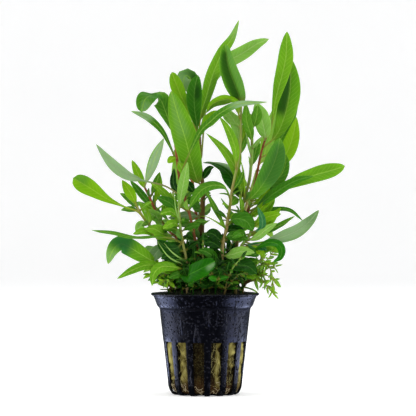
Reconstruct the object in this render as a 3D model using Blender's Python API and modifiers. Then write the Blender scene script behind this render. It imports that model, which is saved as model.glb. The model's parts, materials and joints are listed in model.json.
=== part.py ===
"""A potted hygrophila: lance-leaved stems rooted in a plug of rockwool, in a slotted black net pot.

Metres, +Z up. The origin is the centre of the pot's base, where it stands. The plant's front faces -Y.
Tables of lengths are in millimetres.
"""

import math

import bmesh
import bpy
from mathutils import Vector

MM = 0.001
GAP = 0.35  # left between neighbours that touch

# Pot: a turned wall with a stepped collar and a flared lip
POT_HEIGHT = 50.6
RIM_RADIUS = 27.0
LIP_HEIGHT = 1.0
COLLAR_TOP_RADIUS = 25.8
COLLAR_FOOT_RADIUS = 24.1
COLLAR_HEIGHT = 6.3
WALL_TOP_RADIUS = 22.7
WALL_FOOT_RADIUS = 18.7
WALL_FOOT_HEIGHT = 7.0
BASE_RADIUS = 15.2
WALL = 0.9
POT_STEPS = 28

# Slots: upright, evenly spaced, running down the wall and in under the base
SLOTS = 14
SLOT_ANGLE = math.radians(16.0)
SLOT_TOP = 26.6
SLOT_INNER_RADIUS = 9.5
SLOT_LEFT_OF_FRONT = math.radians(9.2)  # the turn from the front to the nearest slot's middle

# Rockwool plug
WOOL_TOP = 55.2
WOOL_EDGE_TOP = 49.0
WOOL_STEPS = 14
ROOTING_HEIGHT = 46.0  # where the stems end, down in the plug

# Leaves
LEAF_THICKNESS = 0.6
STALK_HALF_WIDTH = 0.45
TIP_HALF_WIDTH = 0.3

# Places on the plant are given as seen square on from the front, on the plane through the pot's axis.
# A place nearer the eye than that plane is really a little closer to the line of sight.
EYE_DISTANCE = 1150.0
SIGHT_X = 1.5
SIGHT_Z = 93.0

COLOURS = {
    "bright": (0.16, 0.42, 0.04),
    "yellow": (0.30, 0.50, 0.05),
    "pale": (0.38, 0.55, 0.20),
    "dark": (0.02, 0.13, 0.03),
    "red": (0.28, 0.07, 0.04),
    "brown": (0.16, 0.09, 0.04),
    "tan": (0.36, 0.24, 0.12),
    "green": (0.22, 0.40, 0.07),
    "plastic": (0.008, 0.009, 0.016),
    "wool": (0.20, 0.17, 0.06),
}

# Each stem: its colour, its radius at the foot and at the top, and the places it runs through
STEMS = {
    "stem_1": ("red", 0.8, 0.55, [
        (-2, -8, 46), (-2.5, -8, 56), (-3.5, -9, 70), (-5.5, -10, 80), (-8, -11, 91),
        (-11, -12, 101), (-13, -13, 109), (-14, -14, 117), (-15, -14.5, 125), (-16.5, -15, 131),
    ]),
    "stem_2": ("brown", 2.3, 0.45, [
        (-2, 2, 46), (-2, 2, 56), (-2.5, 2, 72), (-2, 2, 80), (-1, 1.5, 100),
        (-1.5, 1.5, 108), (-2.5, 1, 117), (-2.5, 1, 127), (-2.8, 1, 132),
    ]),
    "stem_3": ("tan", 0.85, 0.55, [
        (6, -10, 46), (7.5, -10, 56), (8.2, -10, 65), (9, -10.5, 75), (10.5, -10.5, 82),
        (12, -10.5, 91), (13.5, -10.5, 102), (15, -10, 109), (16.5, -9.5, 116),
        (17.5, -9, 123), (18, -8, 134), (18, -8, 144),
    ]),
    "stem_4": ("red", 1.1, 0.45, [
        (9, 6, 46), (10.5, 6, 56), (14.5, 6, 72), (19.5, 7, 85), (22.5, 8, 95),
        (25, 9, 105), (27.5, 9.5, 118), (30, 10, 127), (32.5, 10, 132),
    ]),
    "stem_5": ("green", 0.9, 0.7, [
        (13, -3, 46), (13.5, -3, 56), (16, -4, 75), (19, -4, 95), (21, -4, 102),
        (22.5, -4, 109), (23.5, -4, 122), (23.3, -4, 132), (22.5, -4, 140),
    ]),
    "stem_6": ("tan", 0.75, 0.55, [
        (-7, -9, 46), (-7.5, -9, 58), (-11, -10.5, 66), (-20, -12, 72.5), (-28.5, -14, 85),
        (-32.5, -15, 91), (-34, -15.5, 94),
    ]),
    "stem_7": ("red", 0.75, 0.55, [
        (-6.5, 0, 46), (-6, 0, 56), (-6.5, -1, 66), (-12.5, -2, 76), (-17.5, -2, 81),
        (-21, -2.5, 85), (-24.5, -3, 91), (-27.5, -3, 98), (-30, -3, 103),
    ]),
    "stem_8": ("tan", 0.75, 0.55, [
        (-9, -14, 46), (-9, -14, 56), (-9.5, -14, 68), (-11, -15, 75), (-12.5, -16, 85),
        (-13, -16, 91),
    ]),
    "stem_9": ("green", 0.9, 0.7, [
        (15, -12, 46), (15.5, -12, 56), (17.5, -13, 72), (22, -13, 79), (23.5, -13, 83),
    ]),
    "stem_10": ("green", 0.9, 0.7, [
        (-9, 9, 46), (-10, 10, 56), (-13, 15, 72), (-15, 20, 86), (-16, 24, 100),
    ]),
    "stem_11": ("tan", 0.9, 0.7, [
        (8, 13, 46), (9, 14, 56), (14, 19, 74), (20, 24, 92), (26, 28, 112),
    ]),
    "stem_12": ("red", 0.9, 0.7, [
        (-1, 14, 46), (-1.5, 15, 56), (-3, 20, 76), (-5, 25, 95), (-7, 28, 112), (-8, 30, 124),
    ]),
}

# Each leaf: its stem and the height it leaves it at (None is the stem's top), its width, the part of
# its length that is stalk, the part of the blade's length where it is broadest, the way its upper face
# looks, its fold along the midrib, its colour, and the places it runs through to its tip
LEAVES = {
    "leaf_1a": ("stem_1", 129, 10.6, 0.10, 0.68, (-0.3, -1, 0.2), 0.12, "bright", [
        (-17.5, -15, 135), (-20, -15.5, 142), (-22.2, -16.5, 147), (-26, -19, 149.3),
        (-30, -21.5, 147.2), (-31.8, -22.5, 141),
    ]),
    "leaf_1b": ("stem_1", 117, 4.4, 0.10, 0.68, (0.2, -1, 0.4), 0.25, "bright", [
        (-17.5, -11, 124), (-22, -9, 132), (-28.5, -8, 138), (-37, -8, 141.5),
    ]),
    "leaf_1c": ("stem_1", 99, 6.6, 0.45, 0.45, (0.3, -1, 0.6), 0.20, "pale", [
        (-20, -14, 104), (-30, -17, 106.5), (-38.5, -18, 109), (-45, -19, 113.5), (-50, -19.5, 119),
        (-54.5, -20, 125),
    ]),
    "leaf_1d": ("stem_1", 108, 4.4, 0.25, 0.5, (0.2, -1, 0.3), 0.20, "bright", [
        (-10.5, -18, 114), (-7.5, -22, 121), (-2.5, -25, 131), (2.5, -24, 136), (8.5, -20, 141),
        (17.5, -14, 145), (31.5, -8, 146),
    ]),
    "leaf_2a": ("stem_2", None, 7.2, 0.10, 0.45, (-0.3, -1, 0.2), 0.25, "bright", [
        (-2.2, 0.5, 139), (0.8, 1.5, 149), (4, 2.5, 160), (8.5, 3.5, 170.5), (13.5, 4, 178), (17, 4, 187),
    ]),
    "leaf_2b": ("stem_2", 104, 12.8, 0.10, 0.52, (-0.2, -1, 0.25), 0.12, "pale", [
        (-3.8, -6, 107), (-7, -14, 117), (-9.9, -19.5, 128), (-13.4, -20.5, 139), (-17, -19, 151.5),
    ]),
    "leaf_2c": ("stem_2", 128, 7.2, 0.35, 0.65, (-0.2, -1, 0.2), 0.25, "yellow", [
        (-5.5, 3, 135), (-8, 5, 141), (-11.5, 6, 148), (-14.5, 7, 155), (-16.5, 8, 161),
    ]),
    "leaf_2d": ("stem_2", 126, 8.4, 0.24, 0.6, (0.0, -1, 0.1), 0.10, "dark", [
        (-4.2, -3, 135.5), (-5.2, -4, 142.5), (-5.4, -5, 149), (-4.8, -5, 154.5), (-3.6, -5, 159.5),
    ]),
    "leaf_2e": ("stem_2", 122, 8.8, 0.30, 0.66, (0.0, -1, 0.3), 0.10, "dark", [
        (-4, 7, 135), (-5, 11, 146), (-6, 12.5, 154), (-8, 13, 158.6), (-10, 13, 159),
        (-10.8, 11.5, 156), (-10.8, 11, 150.5),
    ]),
    "leaf_2f": ("stem_2", 118, 8.4, 0.45, 0.55, (0.0, -1, 0.3), 0.20, "bright", [
        (0, 5, 140), (1.5, 7, 150), (5, 8.5, 160), (11, 10, 166), (19, 10, 170.5),
        (26, 9, 175), (32, 9, 177.5),
    ]),
    "leaf_3a": ("stem_3", None, 10.0, 0.04, 0.45, (-0.3, -1, 0.1), 0.30, "bright", [
        (16.8, -8.5, 149.5), (13.8, -9, 157.2), (11.3, -9.5, 164.8), (10.2, -9, 174.8),
    ]),
    "leaf_3b": ("stem_3", 138, 6.0, 0.12, 0.5, (0.0, -1, 0.5), 0.15, "yellow", [
        (15, -11.5, 146.5), (9, -13.5, 147), (4, -14.5, 145), (0.5, -15, 140.5),
    ]),
    "leaf_3c": ("stem_3", 113, 4.8, 0.12, 0.45, (-0.2, -1, 0.2), 0.25, "bright", [
        (15.5, -13, 121), (13.5, -14, 128), (10.5, -15, 134), (7, -16, 139),
    ]),
    "leaf_3d": ("stem_3", 88, 6.0, 0.42, 0.5, (0.0, -1, 0.5), 0.20, "bright", [
        (12.6, -13.5, 93), (12.3, -15, 98), (10, -18, 103), (5, -20, 104.4), (0, -21, 103), (-4, -22, 99.4),
        (-8, -22, 93),
    ]),
    "leaf_4a": ("stem_4", None, 8.6, 0.10, 0.66, (-0.25, -1, 0.15), 0.20, "bright", [
        (33.8, 9, 137), (35, 8.5, 145), (36.8, 8, 153), (39, 7.5, 161), (40.5, 7, 169), (41, 6, 181.3),
    ]),
    "leaf_4b": ("stem_4", 124, 11.2, 0.15, 0.55, (0.2, -1, 0.1), 0.30, "bright", [
        (34.5, 14, 128), (38, 15, 134), (41.2, 15.5, 144), (42.8, 16, 155), (42.6, 15, 168),
    ]),
    "leaf_4c": ("stem_4", 112, 8.5, 0.15, 0.5, (0.2, -1, 0.3), 0.20, "yellow", [
        (34, 10, 113), (40.5, 10, 120), (44, 10, 129), (45.8, 10, 138.5),
    ]),
    "leaf_4d": ("stem_4", 97, 7.5, 0.30, 0.5, (-0.3, -1, 0.4), 0.15, "bright", [
        (30, -1, 102), (37, -5, 108), (40, -6, 114), (40.5, -6, 120),
    ]),
    "leaf_4e": ("stem_4", 92, 9.4, 0.28, 0.7, (-0.2, -1, 0.45), 0.20, "bright", [
        (28.5, 1, 95), (37, -3, 102), (45, -6, 106), (55, -8, 109.5), (64, -9, 112), (70, -10, 114),
    ]),
    "leaf_4f": ("stem_4", 127, 9.2, 0.08, 0.5, (0.2, -1, 0.3), 0.12, "pale", [
        (30, 7, 130), (28.8, 6, 136), (27.2, 5, 141), (25.2, 4, 145.5),
    ]),
    "leaf_5a": ("stem_5", 96, 11.5, 0.12, 0.6, (0.35, -1, -0.1), 0.15, "dark", [
        (24, -12, 99), (29, -15, 105), (33, -17, 112), (36, -17, 120), (37.5, -14, 128),
    ]),
    "leaf_5b": ("stem_5", 93, 5.0, 0.20, 0.45, (0.0, -1, 0.1), 0.20, "bright", [
        (18, -6, 103), (14.5, -6, 114), (8.5, -8, 123), (0.5, -9, 130.5),
    ]),
    "leaf_5c": ("stem_5", 95, 9.0, 0.12, 0.42, (0.0, -1, 0.25), 0.20, "dark", [
        (17.2, -2, 101), (13, 0, 108.5), (8.5, 0, 113), (3.5, -1, 115.2), (-1.2, -2, 115.6),
    ]),
    "leaf_6a": ("stem_6", 86, 9.6, 0.36, 0.78, (0.1, -1, 0.3), 0.15, "yellow", [
        (-33.5, -18.5, 91), (-40, -19, 93.5), (-48, -20, 97), (-56, -21, 102), (-62.5, -22, 106),
        (-66, -22, 108),
    ]),
    "leaf_6b": ("stem_6", None, 5.6, 0.10, 0.5, (0.0, -1, 0.3), 0.20, "yellow", [
        (-36.5, -13, 99), (-39, -11, 103), (-41.5, -10, 107),
    ]),
    "leaf_6c": ("stem_6", 66, 9.2, 0.30, 0.5, (0.0, -1, 0.3), 0.20, "dark", [
        (-18.5, -15, 65.5), (-25, -18.5, 66), (-31.5, -21, 69.5), (-38, -24, 73.5), (-43, -26, 75),
        (-46.5, -27.5, 71), (-48.5, -29, 65),
    ]),
    "leaf_7a": ("stem_7", None, 5.6, 0.12, 0.5, (0.0, -1, 0.1), 0.10, "pale", [
        (-28, -4, 110), (-24.5, -4, 119.5), (-20.5, -4, 128),
    ]),
    "leaf_8a": ("stem_8", None, 5.6, 0.15, 0.5, (0.0, -1, 0.1), 0.15, "pale", [
        (-12, -19, 99), (-10.5, -22.5, 107), (-8.7, -25, 116),
    ]),
    "leaf_8b": ("stem_8", 76, 6.5, 0.25, 0.45, (0.0, -0.15, 1), 0.20, "bright", [
        (-17, -20, 78), (-26, -25, 78.5), (-34, -29, 78), (-45, -33, 80), (-57, -35, 82),
    ]),
    "leaf_8c": ("stem_8", 58, 9.2, 0.10, 0.56, (0.1, -1, 0.3), 0.03, "bright", [
        (-8, -24, 58.4), (-4.5, -27, 60.2), (0, -29, 62.6), (5, -30, 65.2),
    ]),
    "leaf_9a": ("stem_9", 74, 7.8, 0.25, 0.5, (0.0, -1, 0.6), 0.12, "pale", [
        (28.5, -17, 75), (35.5, -20, 77.5), (45, -23, 81), (52, -25, 86), (57, -26, 92),
    ]),
    "leaf_9b": ("stem_9", 70, 5.0, 0.25, 0.5, (0.0, -1, 0.6), 0.20, "yellow", [
        (25, -17, 72.3), (28.5, -20, 74.3), (32.5, -23, 75.8), (36.5, -25, 74.8), (38.4, -26, 71.8),
        (37.5, -27, 68.3), (34, -28, 66),
    ]),
    "leaf_10a": ("stem_10", None, 9.0, 0.12, 0.5, (0.2, 1, 0.4), 0.20, "bright", [
        (-14, 30, 108), (-11, 38, 120), (-8, 44, 131),
    ]),
    "leaf_10b": ("stem_10", 84, 8.5, 0.20, 0.5, (0.0, 0.3, 1), 0.20, "bright", [
        (-22, 30, 90), (-30, 40, 95), (-38, 48, 93),
    ]),
    "leaf_10c": ("stem_10", 70, 8.5, 0.20, 0.5, (0.0, 0.3, 1), 0.20, "dark", [
        (-20, 26, 72), (-26, 38, 73), (-30, 50, 68),
    ]),
    "leaf_11a": ("stem_11", None, 9.0, 0.12, 0.5, (0.2, 1, 0.4), 0.20, "bright", [
        (30, 34, 121), (34, 40, 134), (36, 44, 146),
    ]),
    "leaf_11b": ("stem_11", 95, 8.5, 0.20, 0.5, (0.0, 0.3, 1), 0.20, "bright", [
        (30, 34, 98), (40, 44, 104), (50, 52, 106),
    ]),
    "leaf_11c": ("stem_11", 78, 8.5, 0.20, 0.5, (0.0, 0.3, 1), 0.20, "yellow", [
        (20, 30, 82), (28, 42, 84), (34, 54, 78),
    ]),
    "leaf_12a": ("stem_12", None, 8.0, 0.12, 0.5, (-0.2, 1, 0.3), 0.20, "bright", [
        (-10, 36, 134), (-8, 42, 146), (-4, 46, 156),
    ]),
    "leaf_12b": ("stem_12", 104, 8.5, 0.20, 0.5, (0.0, 0.5, 1), 0.20, "bright", [
        (-6, 36, 108), (-9, 44, 114), (-11, 51, 110),
    ]),
}

MOST_ROWS = 6  # the most steps that a leaf is drawn in

# How full a blade is drawn: less is fuller and blunter
PLAIN_LANCE = 0.8
FULLNESS = {
    "leaf_1a": 0.48, "leaf_2a": 0.7, "leaf_2b": 0.62, "leaf_2c": 0.55, "leaf_2d": 0.6, "leaf_2e": 0.45,
    "leaf_2f": 0.6, "leaf_3a": 0.5, "leaf_4a": 0.7, "leaf_4b": 0.65, "leaf_4e": 0.55, "leaf_4f": 0.6,
    "leaf_5a": 0.7, "leaf_6a": 0.48, "leaf_6c": 0.65, "leaf_8c": 0.36, "leaf_9a": 0.7, "leaf_9b": 0.65,
}

# Small leaves that are one piece with their stem: height, width, facing, places to the tip
SMALL_LEAVES = {
    "stem_1": [
        (97, 4.0, (-0.3, -1, 0), [(-15.5, -7, 104), (-15.5, -5, 113)]),
        (91, 4.5, (0, -1, 0.5), [(-17, -8, 97), (-22, -8, 102), (-27.5, -9, 106)]),
    ],
    "stem_2": [
        (88, 4.6, (0, -1, 0.2), [(-8, -4, 89.5), (-14, -7, 88.5), (-18.5, -8, 88)]),
    ],
    "stem_3": [
        (122, 6.0, (0, -1, 0.2), [(16, -6, 133), (13, -5, 139), (9.5, -4, 143)]),
        (82, 3.0, (0, -1, 0.3), [(6, -8, 91), (0.8, -7, 101)]),
        (84, 8.6, (0, -1, 0.5), [(15, -14, 87.5), (20.5, -16, 86.5), (24, -17, 81.5)]),
    ],
    "stem_4": [
        (118, 6.0, (0.3, -1, 0.2), [(34, 15, 122), (40, 19, 131), (43.5, 21, 139), (46.5, 22, 146)]),
        (87, 3.0, (0, -1, 0.6), [(28.5, 4, 91), (36, 2, 92.6), (43, 1, 91.6), (49, 0, 86.5)]),
        (79, 3.5, (0, -1, 0.6), [(32, 8, 82), (45, 8, 89)]),
    ],
    "stem_5": [
        (88, 2.6, (0, -1, 0.1), [(18.5, -8, 94), (17, -9.5, 100)]),
        (132, 4.2, (-0.2, -1, 0.1), [(21.3, -6, 137.5), (19.5, -7, 143.5)]),
        (132, 6.0, (0.2, -1, 0.1), [(25.6, -7, 137.5), (26.3, -8, 144.5)]),
    ],
    "stem_6": [
        (92, 4.0, (0, -1, 0.5), [(-38, -9, 97.5), (-42.5, -7, 100.5)]),
        (79, 4.0, (0, -1, 0.3), [(-30, -17, 81.5), (-36, -19, 80)]),
        (64, 5.4, (0, -1, 0.5), [(-16, -17, 61), (-27, -22.8, 64.5), (-36, -28, 62), (-44, -32, 57.5)]),
    ],
    "stem_7": [
        (100, 4.6, (0, -1, 0.2), [(-33, 0, 109), (-36.5, 2, 117)]),
        (91, 4.2, (0, -1, 0.3), [(-31, 3, 99), (-37.5, 6, 107)]),
        (94, 4.2, (0, -1, 0.1), [(-23.5, -1, 101), (-22.5, 0, 110)]),
        (84, 6.0, (0, -1, 0.4), [(-25, -6, 89), (-30.5, -8, 91.5)]),
        (79, 7.6, (0, -1, 0.3), [(-21, -16, 80), (-25, -18, 82.3), (-30, -18, 82.5)]),
    ],
    "stem_8": [
        (87, 4.6, (0, -1, 0.4), [(-17, -19, 91), (-22.5, -21, 90)]),
        (83, 4.6, (0, -1, 0.4), [(-16, -19, 85.5), (-21, -21, 82.5)]),
        (89, 5.5, (0, -1, 0.3), [(-17, -13, 95), (-24, -11, 98.5)]),
        (62, 5.8, (0, -1, 0.3), [(-16, -21, 63.5), (-22, -26, 63.5), (-25.5, -28, 60), (-26.5, -29, 54)]),
    ],
    "stem_9": [
        (82, 6.0, (0, -1, 0.5), [(28, -15, 87), (33, -16, 89), (38, -17, 90)]),
        (79, 3.5, (0, -1, 0.6), [(30, -13, 81), (41.5, -13, 86)]),
        (81, 3.8, (0.1, -1, 0), [(28, -18, 82.5), (28.6, -19, 87.5), (26.3, -18, 93.5)]),
        (77, 5.0, (0, -1, 0.7), [(18.5, -17, 80.5), (13.5, -19, 78)]),
    ],
    "stem_10": [
        (76, 5.0, (0, 0.4, 1), [(-8, 22, 80), (-4, 30, 84)]),
        (90, 5.0, (0.3, 1, 0.5), [(-11.5, 28, 98), (-11, 34, 106)]),
        (62, 5.0, (0, 0.4, 1), [(-8, 20, 62), (-6, 28, 60)]),
    ],
    "stem_11": [
        (86, 5.0, (0, 0.4, 1), [(12, 30, 92), (8, 36, 98)]),
        (66, 5.0, (0, 0.4, 1), [(18, 26, 67), (24, 34, 64)]),
        (102, 5.0, (0.3, 1, 0.5), [(18, 34, 108), (14, 40, 114)]),
    ],
    "stem_12": [
        (90, 5.0, (0, 0.4, 1), [(-14, 36, 95), (-20, 42, 97)]),
        (76, 5.0, (0, 0.4, 1), [(2, 30, 80), (6, 38, 82)]),
        (112, 5.0, (0.3, 1, 0.5), [(-4, 36, 119), (-2, 41, 125)]),
    ],
}

# Plantlets: young shoots low on the plant. Places they run through, leaf pairs, and longest leaf
SPRIGS = {
    "sprig_1": (4, 8.0, [
        (18.5, -5, 46), (20, -8, 56), (26, -14, 63), (31, -19, 65), (33.5, -22, 60), (34, -23, 55),
    ]),
    "sprig_2": (3, 8.0, [(-16, -6, 46), (-18, -7, 55), (-23, -10, 60), (-27, -14, 60)]),
    "sprig_3": (3, 7.0, [(-1, -16, 46), (-1, -16, 56), (-1, -18, 67), (-1, -20, 76)]),
    "sprig_4": (3, 8.0, [(9, -16, 46), (11, -18, 56), (14, -22, 63), (18, -26, 68)]),
    "sprig_5": (3, 9.0, [(-15, 11, 46), (-18, 16, 57), (-24, 23, 63), (-28, 30, 65)]),
    "sprig_6": (3, 9.0, [(16, 7, 46), (20.5, 12, 57), (25, 22, 63), (29, 28, 64)]),
}
SPRIG_RADIUS = 0.6
LEAFLET_SLENDER = 0.42  # a young leaf's width to its length


def clear_scene():
    for obj in list(bpy.data.objects):
        bpy.data.objects.remove(obj, do_unlink=True)


def new_collection(name):
    collection = bpy.data.collections.new(name)
    bpy.context.scene.collection.children.link(collection)
    return collection


def material(name, colour, roughness):
    made = bpy.data.materials.get(name)
    if made is None:
        made = bpy.data.materials.new(name)
        made.use_nodes = True
        shader = made.node_tree.nodes["Principled BSDF"]
        shader.inputs["Base Color"].default_value = (*COLOURS[colour], 1.0)
        shader.inputs["Roughness"].default_value = roughness
        shader.inputs["Metallic"].default_value = 0.0
        made.diffuse_color = (*COLOURS[colour], 1.0)
    return made


def place(spot):
    """The real place, in metres, of a spot given as seen square on from the front."""
    x, y, z = spot
    nearer = 1.0 + y / EYE_DISTANCE
    return Vector((SIGHT_X + (x - SIGHT_X) * nearer, y, SIGHT_Z + (z - SIGHT_Z) * nearer)) * MM


def smooth_path(places, count):
    """count + 1 places evenly spaced along a smooth curve through the given ones."""
    ends = [2 * places[0] - places[1]] + list(places) + [2 * places[-1] - places[-2]]
    fine = []
    for k in range(1, len(ends) - 2):
        a, b, c, d = ends[k - 1:k + 3]
        for step in range(12):
            t = step / 12
            bend = (2 * a - 5 * b + 4 * c - d) * t**2 + (3 * b - a - 3 * c + d) * t**3
            fine.append((2 * b + (c - a) * t + bend) / 2)
    fine.append(ends[-2])
    lengths = [0.0]
    for before, after in zip(fine, fine[1:]):
        lengths.append(lengths[-1] + (after - before).length)
    even = []
    k = 0
    for step in range(count + 1):
        wanted = lengths[-1] * step / count
        while k < len(lengths) - 2 and lengths[k + 1] < wanted:
            k += 1
        share = (wanted - lengths[k]) / (lengths[k + 1] - lengths[k])
        even.append(fine[k].lerp(fine[k + 1], min(share, 1.0)))
    return even


def add_object(name, mesh, collection, look):
    obj = bpy.data.objects.new(name, mesh)
    obj.data.materials.append(look)
    collection.objects.link(obj)
    return obj


def as_cutter(obj):
    obj.hide_render = True
    obj.display_type = "WIRE"
    return obj


def boolean(obj, operation, other):
    modifier = obj.modifiers.new(operation.title(), "BOOLEAN")
    modifier.operation = operation
    modifier.solver = "EXACT"
    modifier.material_mode = "TRANSFER"
    modifier.object = other


def turned(name, profile, steps, collection, look):
    """A profile of (radius, height), run down its outer side, turned about Z."""
    mesh = bpy.data.meshes.new(name)
    places = [(radius * MM, 0.0, height * MM) for radius, height in profile]
    mesh.from_pydata(places, [(k, k + 1) for k in range(len(places) - 1)], [])
    obj = add_object(name, mesh, collection, look)
    screw = obj.modifiers.new("Screw", "SCREW")
    screw.axis = "Z"
    screw.angle = math.tau
    screw.steps = steps
    screw.render_steps = steps
    screw.use_merge_vertices = True
    screw.merge_threshold = 0.00001
    screw.use_smooth_shade = True
    return obj


def tube(name, places, radii, sides_level, collection, look):
    """A round tapering tube with closed ends, as a mesh that can be cut or joined."""
    curve = bpy.data.curves.new(name, "CURVE")
    curve.dimensions = "3D"
    curve.bevel_depth = MM
    curve.bevel_resolution = sides_level
    curve.use_fill_caps = True
    spline = curve.splines.new("POLY")
    spline.points.add(len(places) - 1)
    for point, spot, radius in zip(spline.points, places, radii):
        point.co = (*spot, 1.0)
        point.radius = radius
    guide = bpy.data.objects.new(name, curve)
    bpy.context.scene.collection.objects.link(guide)
    bpy.context.view_layer.update()
    mesh = bpy.data.meshes.new_from_object(guide.evaluated_get(bpy.context.evaluated_depsgraph_get()))
    mesh.name = name
    bpy.data.objects.remove(guide, do_unlink=True)
    shell = bmesh.new()
    shell.from_mesh(mesh)
    bmesh.ops.remove_doubles(shell, verts=shell.verts, dist=0.00001)
    bmesh.ops.recalc_face_normals(shell, faces=shell.faces)
    shell.to_mesh(mesh)
    shell.free()
    mesh.materials.clear()
    mesh.shade_smooth()
    return add_object(name, mesh, collection, look)


def blade_half_width(t, width, stalk, broad, full):
    """Half the width of a lance-shaped leaf at the part t of its length."""
    if t <= stalk:
        return STALK_HALF_WIDTH
    along = (t - stalk) / (1.0 - stalk)
    swell = max(math.sin(math.pi * along ** (math.log(0.5) / math.log(broad))), 0.0) ** full
    return max(TIP_HALF_WIDTH, STALK_HALF_WIDTH + (width / 2 - STALK_HALF_WIDTH) * swell)


def blade(name, places, width, stalk, broad, facing, fold, rows, collection, look, full=PLAIN_LANCE):
    """A leaf: a strip that widens and narrows along its path, folded along its midrib, then thickened.

    A leaf with no fold is one face wide.
    """
    path = smooth_path(places, rows)
    facing = Vector(facing).normalized()
    shell = bmesh.new()
    lines = []
    for k, spot in enumerate(path):
        along = (path[min(k + 1, rows)] - path[max(k - 1, 0)]).normalized()
        side = along.cross(facing).normalized()
        up = side.cross(along)
        half = blade_half_width(k / rows, width, stalk, broad, full) * MM
        raised = half * fold if k / rows > stalk else 0.0
        line = [spot - side * half + up * raised, spot, spot + side * half + up * raised]
        if not fold:
            line.pop(1)
        lines.append([shell.verts.new(corner) for corner in line])
    for before, after in zip(lines, lines[1:]):
        for k in range(len(before) - 1):
            shell.faces.new((before[k], before[k + 1], after[k + 1], after[k]))
    mesh = bpy.data.meshes.new(name)
    shell.to_mesh(mesh)
    shell.free()
    mesh.shade_smooth()
    obj = add_object(name, mesh, collection, look)
    thick = obj.modifiers.new("Solidify", "SOLIDIFY")
    thick.thickness = LEAF_THICKNESS * MM
    thick.offset = 0.0
    return obj


def stem_radius(stem, share):
    _, foot, top, _ = STEMS[stem]
    return foot + (top - foot) * share


def stem_place(stem, height):
    """A stem's centre line at a height as seen from the front: the place, its direction and its radius."""
    path = smooth_path([place(spot) for spot in STEMS[stem][3]], 60)
    if height is None:
        return path[-1], (path[-1] - path[-2]).normalized(), stem_radius(stem, 1.0)
    nearest = min(range(61), key=lambda k: abs(seen_height(path[k]) - height))
    along = (path[min(nearest + 1, 60)] - path[max(nearest - 1, 0)]).normalized()
    return path[nearest], along, stem_radius(stem, nearest / 60)


def seen_height(spot):
    nearer = 1.0 + spot.y / MM / EYE_DISTANCE
    return SIGHT_Z + (spot.z / MM - SIGHT_Z) / nearer


def leaf_start(stem, height, towards):
    """Where a leaf's stalk begins: just clear of its stem, on the side that it grows to."""
    foot, along, radius = stem_place(stem, height)
    if height is None:
        return foot + along * (GAP + 0.3) * MM
    aside = towards - foot
    aside = (aside - along * aside.dot(along)).normalized()
    return foot + aside * (radius + GAP + STALK_HALF_WIDTH + 0.1) * MM


def make_pot(parts, cutters):
    collar_foot = POT_HEIGHT - COLLAR_HEIGHT
    profile = [
        (RIM_RADIUS, POT_HEIGHT),
        (RIM_RADIUS, POT_HEIGHT - LIP_HEIGHT),
        (COLLAR_TOP_RADIUS, POT_HEIGHT - 1.6 * LIP_HEIGHT),
        (COLLAR_FOOT_RADIUS, collar_foot + 0.3),
        (WALL_TOP_RADIUS, collar_foot - 1.6),
        (WALL_FOOT_RADIUS, WALL_FOOT_HEIGHT),
        (WALL_FOOT_RADIUS - 0.3, 3.8),
        (WALL_FOOT_RADIUS - 1.6, 1.3),
        (BASE_RADIUS, 0.0),
        (0.0, 0.0),
    ]
    pot = turned("pot", profile, POT_STEPS, parts, material("pot", "plastic", 0.35))
    wall = pot.modifiers.new("Solidify", "SOLIDIFY")
    wall.thickness = WALL * MM
    wall.offset = -1.0
    wall.use_even_offset = True
    slots = slot_cutter(cutters)
    boolean(pot, "DIFFERENCE", slots)
    for obj in (pot, slots):
        obj.rotation_euler.z = math.radians(-90.0) - SLOT_LEFT_OF_FRONT


def slot_cutter(cutters):
    """Wedges, one for each slot, that reach out past the wall and down past the base."""
    outer = RIM_RADIUS + 5.0
    below = -5.0
    half = math.tan(SLOT_ANGLE / 2)
    shell = bmesh.new()
    for k in range(SLOTS):
        turn = math.tau * k / SLOTS
        wedge = bmesh.ops.create_cube(shell, size=1.0)["verts"]
        for corner in wedge:
            radius = outer if corner.co.x > 0 else SLOT_INNER_RADIUS
            aside = radius * half * (1 if corner.co.y > 0 else -1)
            height = SLOT_TOP if corner.co.z > 0 else below
            x = radius * math.cos(turn) - aside * math.sin(turn)
            y = radius * math.sin(turn) + aside * math.cos(turn)
            corner.co = Vector((x, y, height)) * MM
    mesh = bpy.data.meshes.new("slots")
    shell.to_mesh(mesh)
    shell.free()
    return as_cutter(add_object("slots", mesh, cutters, material("pot", "plastic", 0.35)))


def make_wool(parts, cutters, routes):
    """The plug of rockwool, with a hole for each stem that is rooted in it."""
    clear = WALL + GAP
    collar_foot = POT_HEIGHT - COLLAR_HEIGHT
    profile = [
        (0.0, WOOL_TOP),
        (9.0, WOOL_TOP - 0.8),
        (16.0, WOOL_TOP - 3.0),
        (20.3, WOOL_EDGE_TOP),
        (21.2, WOOL_EDGE_TOP - 3.0),
        (WALL_TOP_RADIUS - clear - 0.1, collar_foot - 1.2),
        (WALL_FOOT_RADIUS - clear - 0.05, WALL_FOOT_HEIGHT),
        (WALL_FOOT_RADIUS - clear - 0.35, 4.3),
        (WALL_FOOT_RADIUS - clear - 1.5, 2.4),
        (BASE_RADIUS - 0.8, clear + 0.05),
        (0.0, clear + 0.05),
    ]
    wool = turned("rockwool", profile, WOOL_STEPS, parts, material("rockwool", "wool", 0.95))
    for name, places, radii in routes:
        along = (places[1] - places[0]).normalized()
        ends = [places[0] - along * GAP * MM, places[0] + along * 1.6 * (WOOL_TOP - ROOTING_HEIGHT) * MM]
        look = material("rockwool", "wool", 0.95)
        hole = tube("hole_" + name, ends, [radii[0] + GAP] * 2, 1, cutters, look)
        boolean(wool, "DIFFERENCE", as_cutter(hole))


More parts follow.
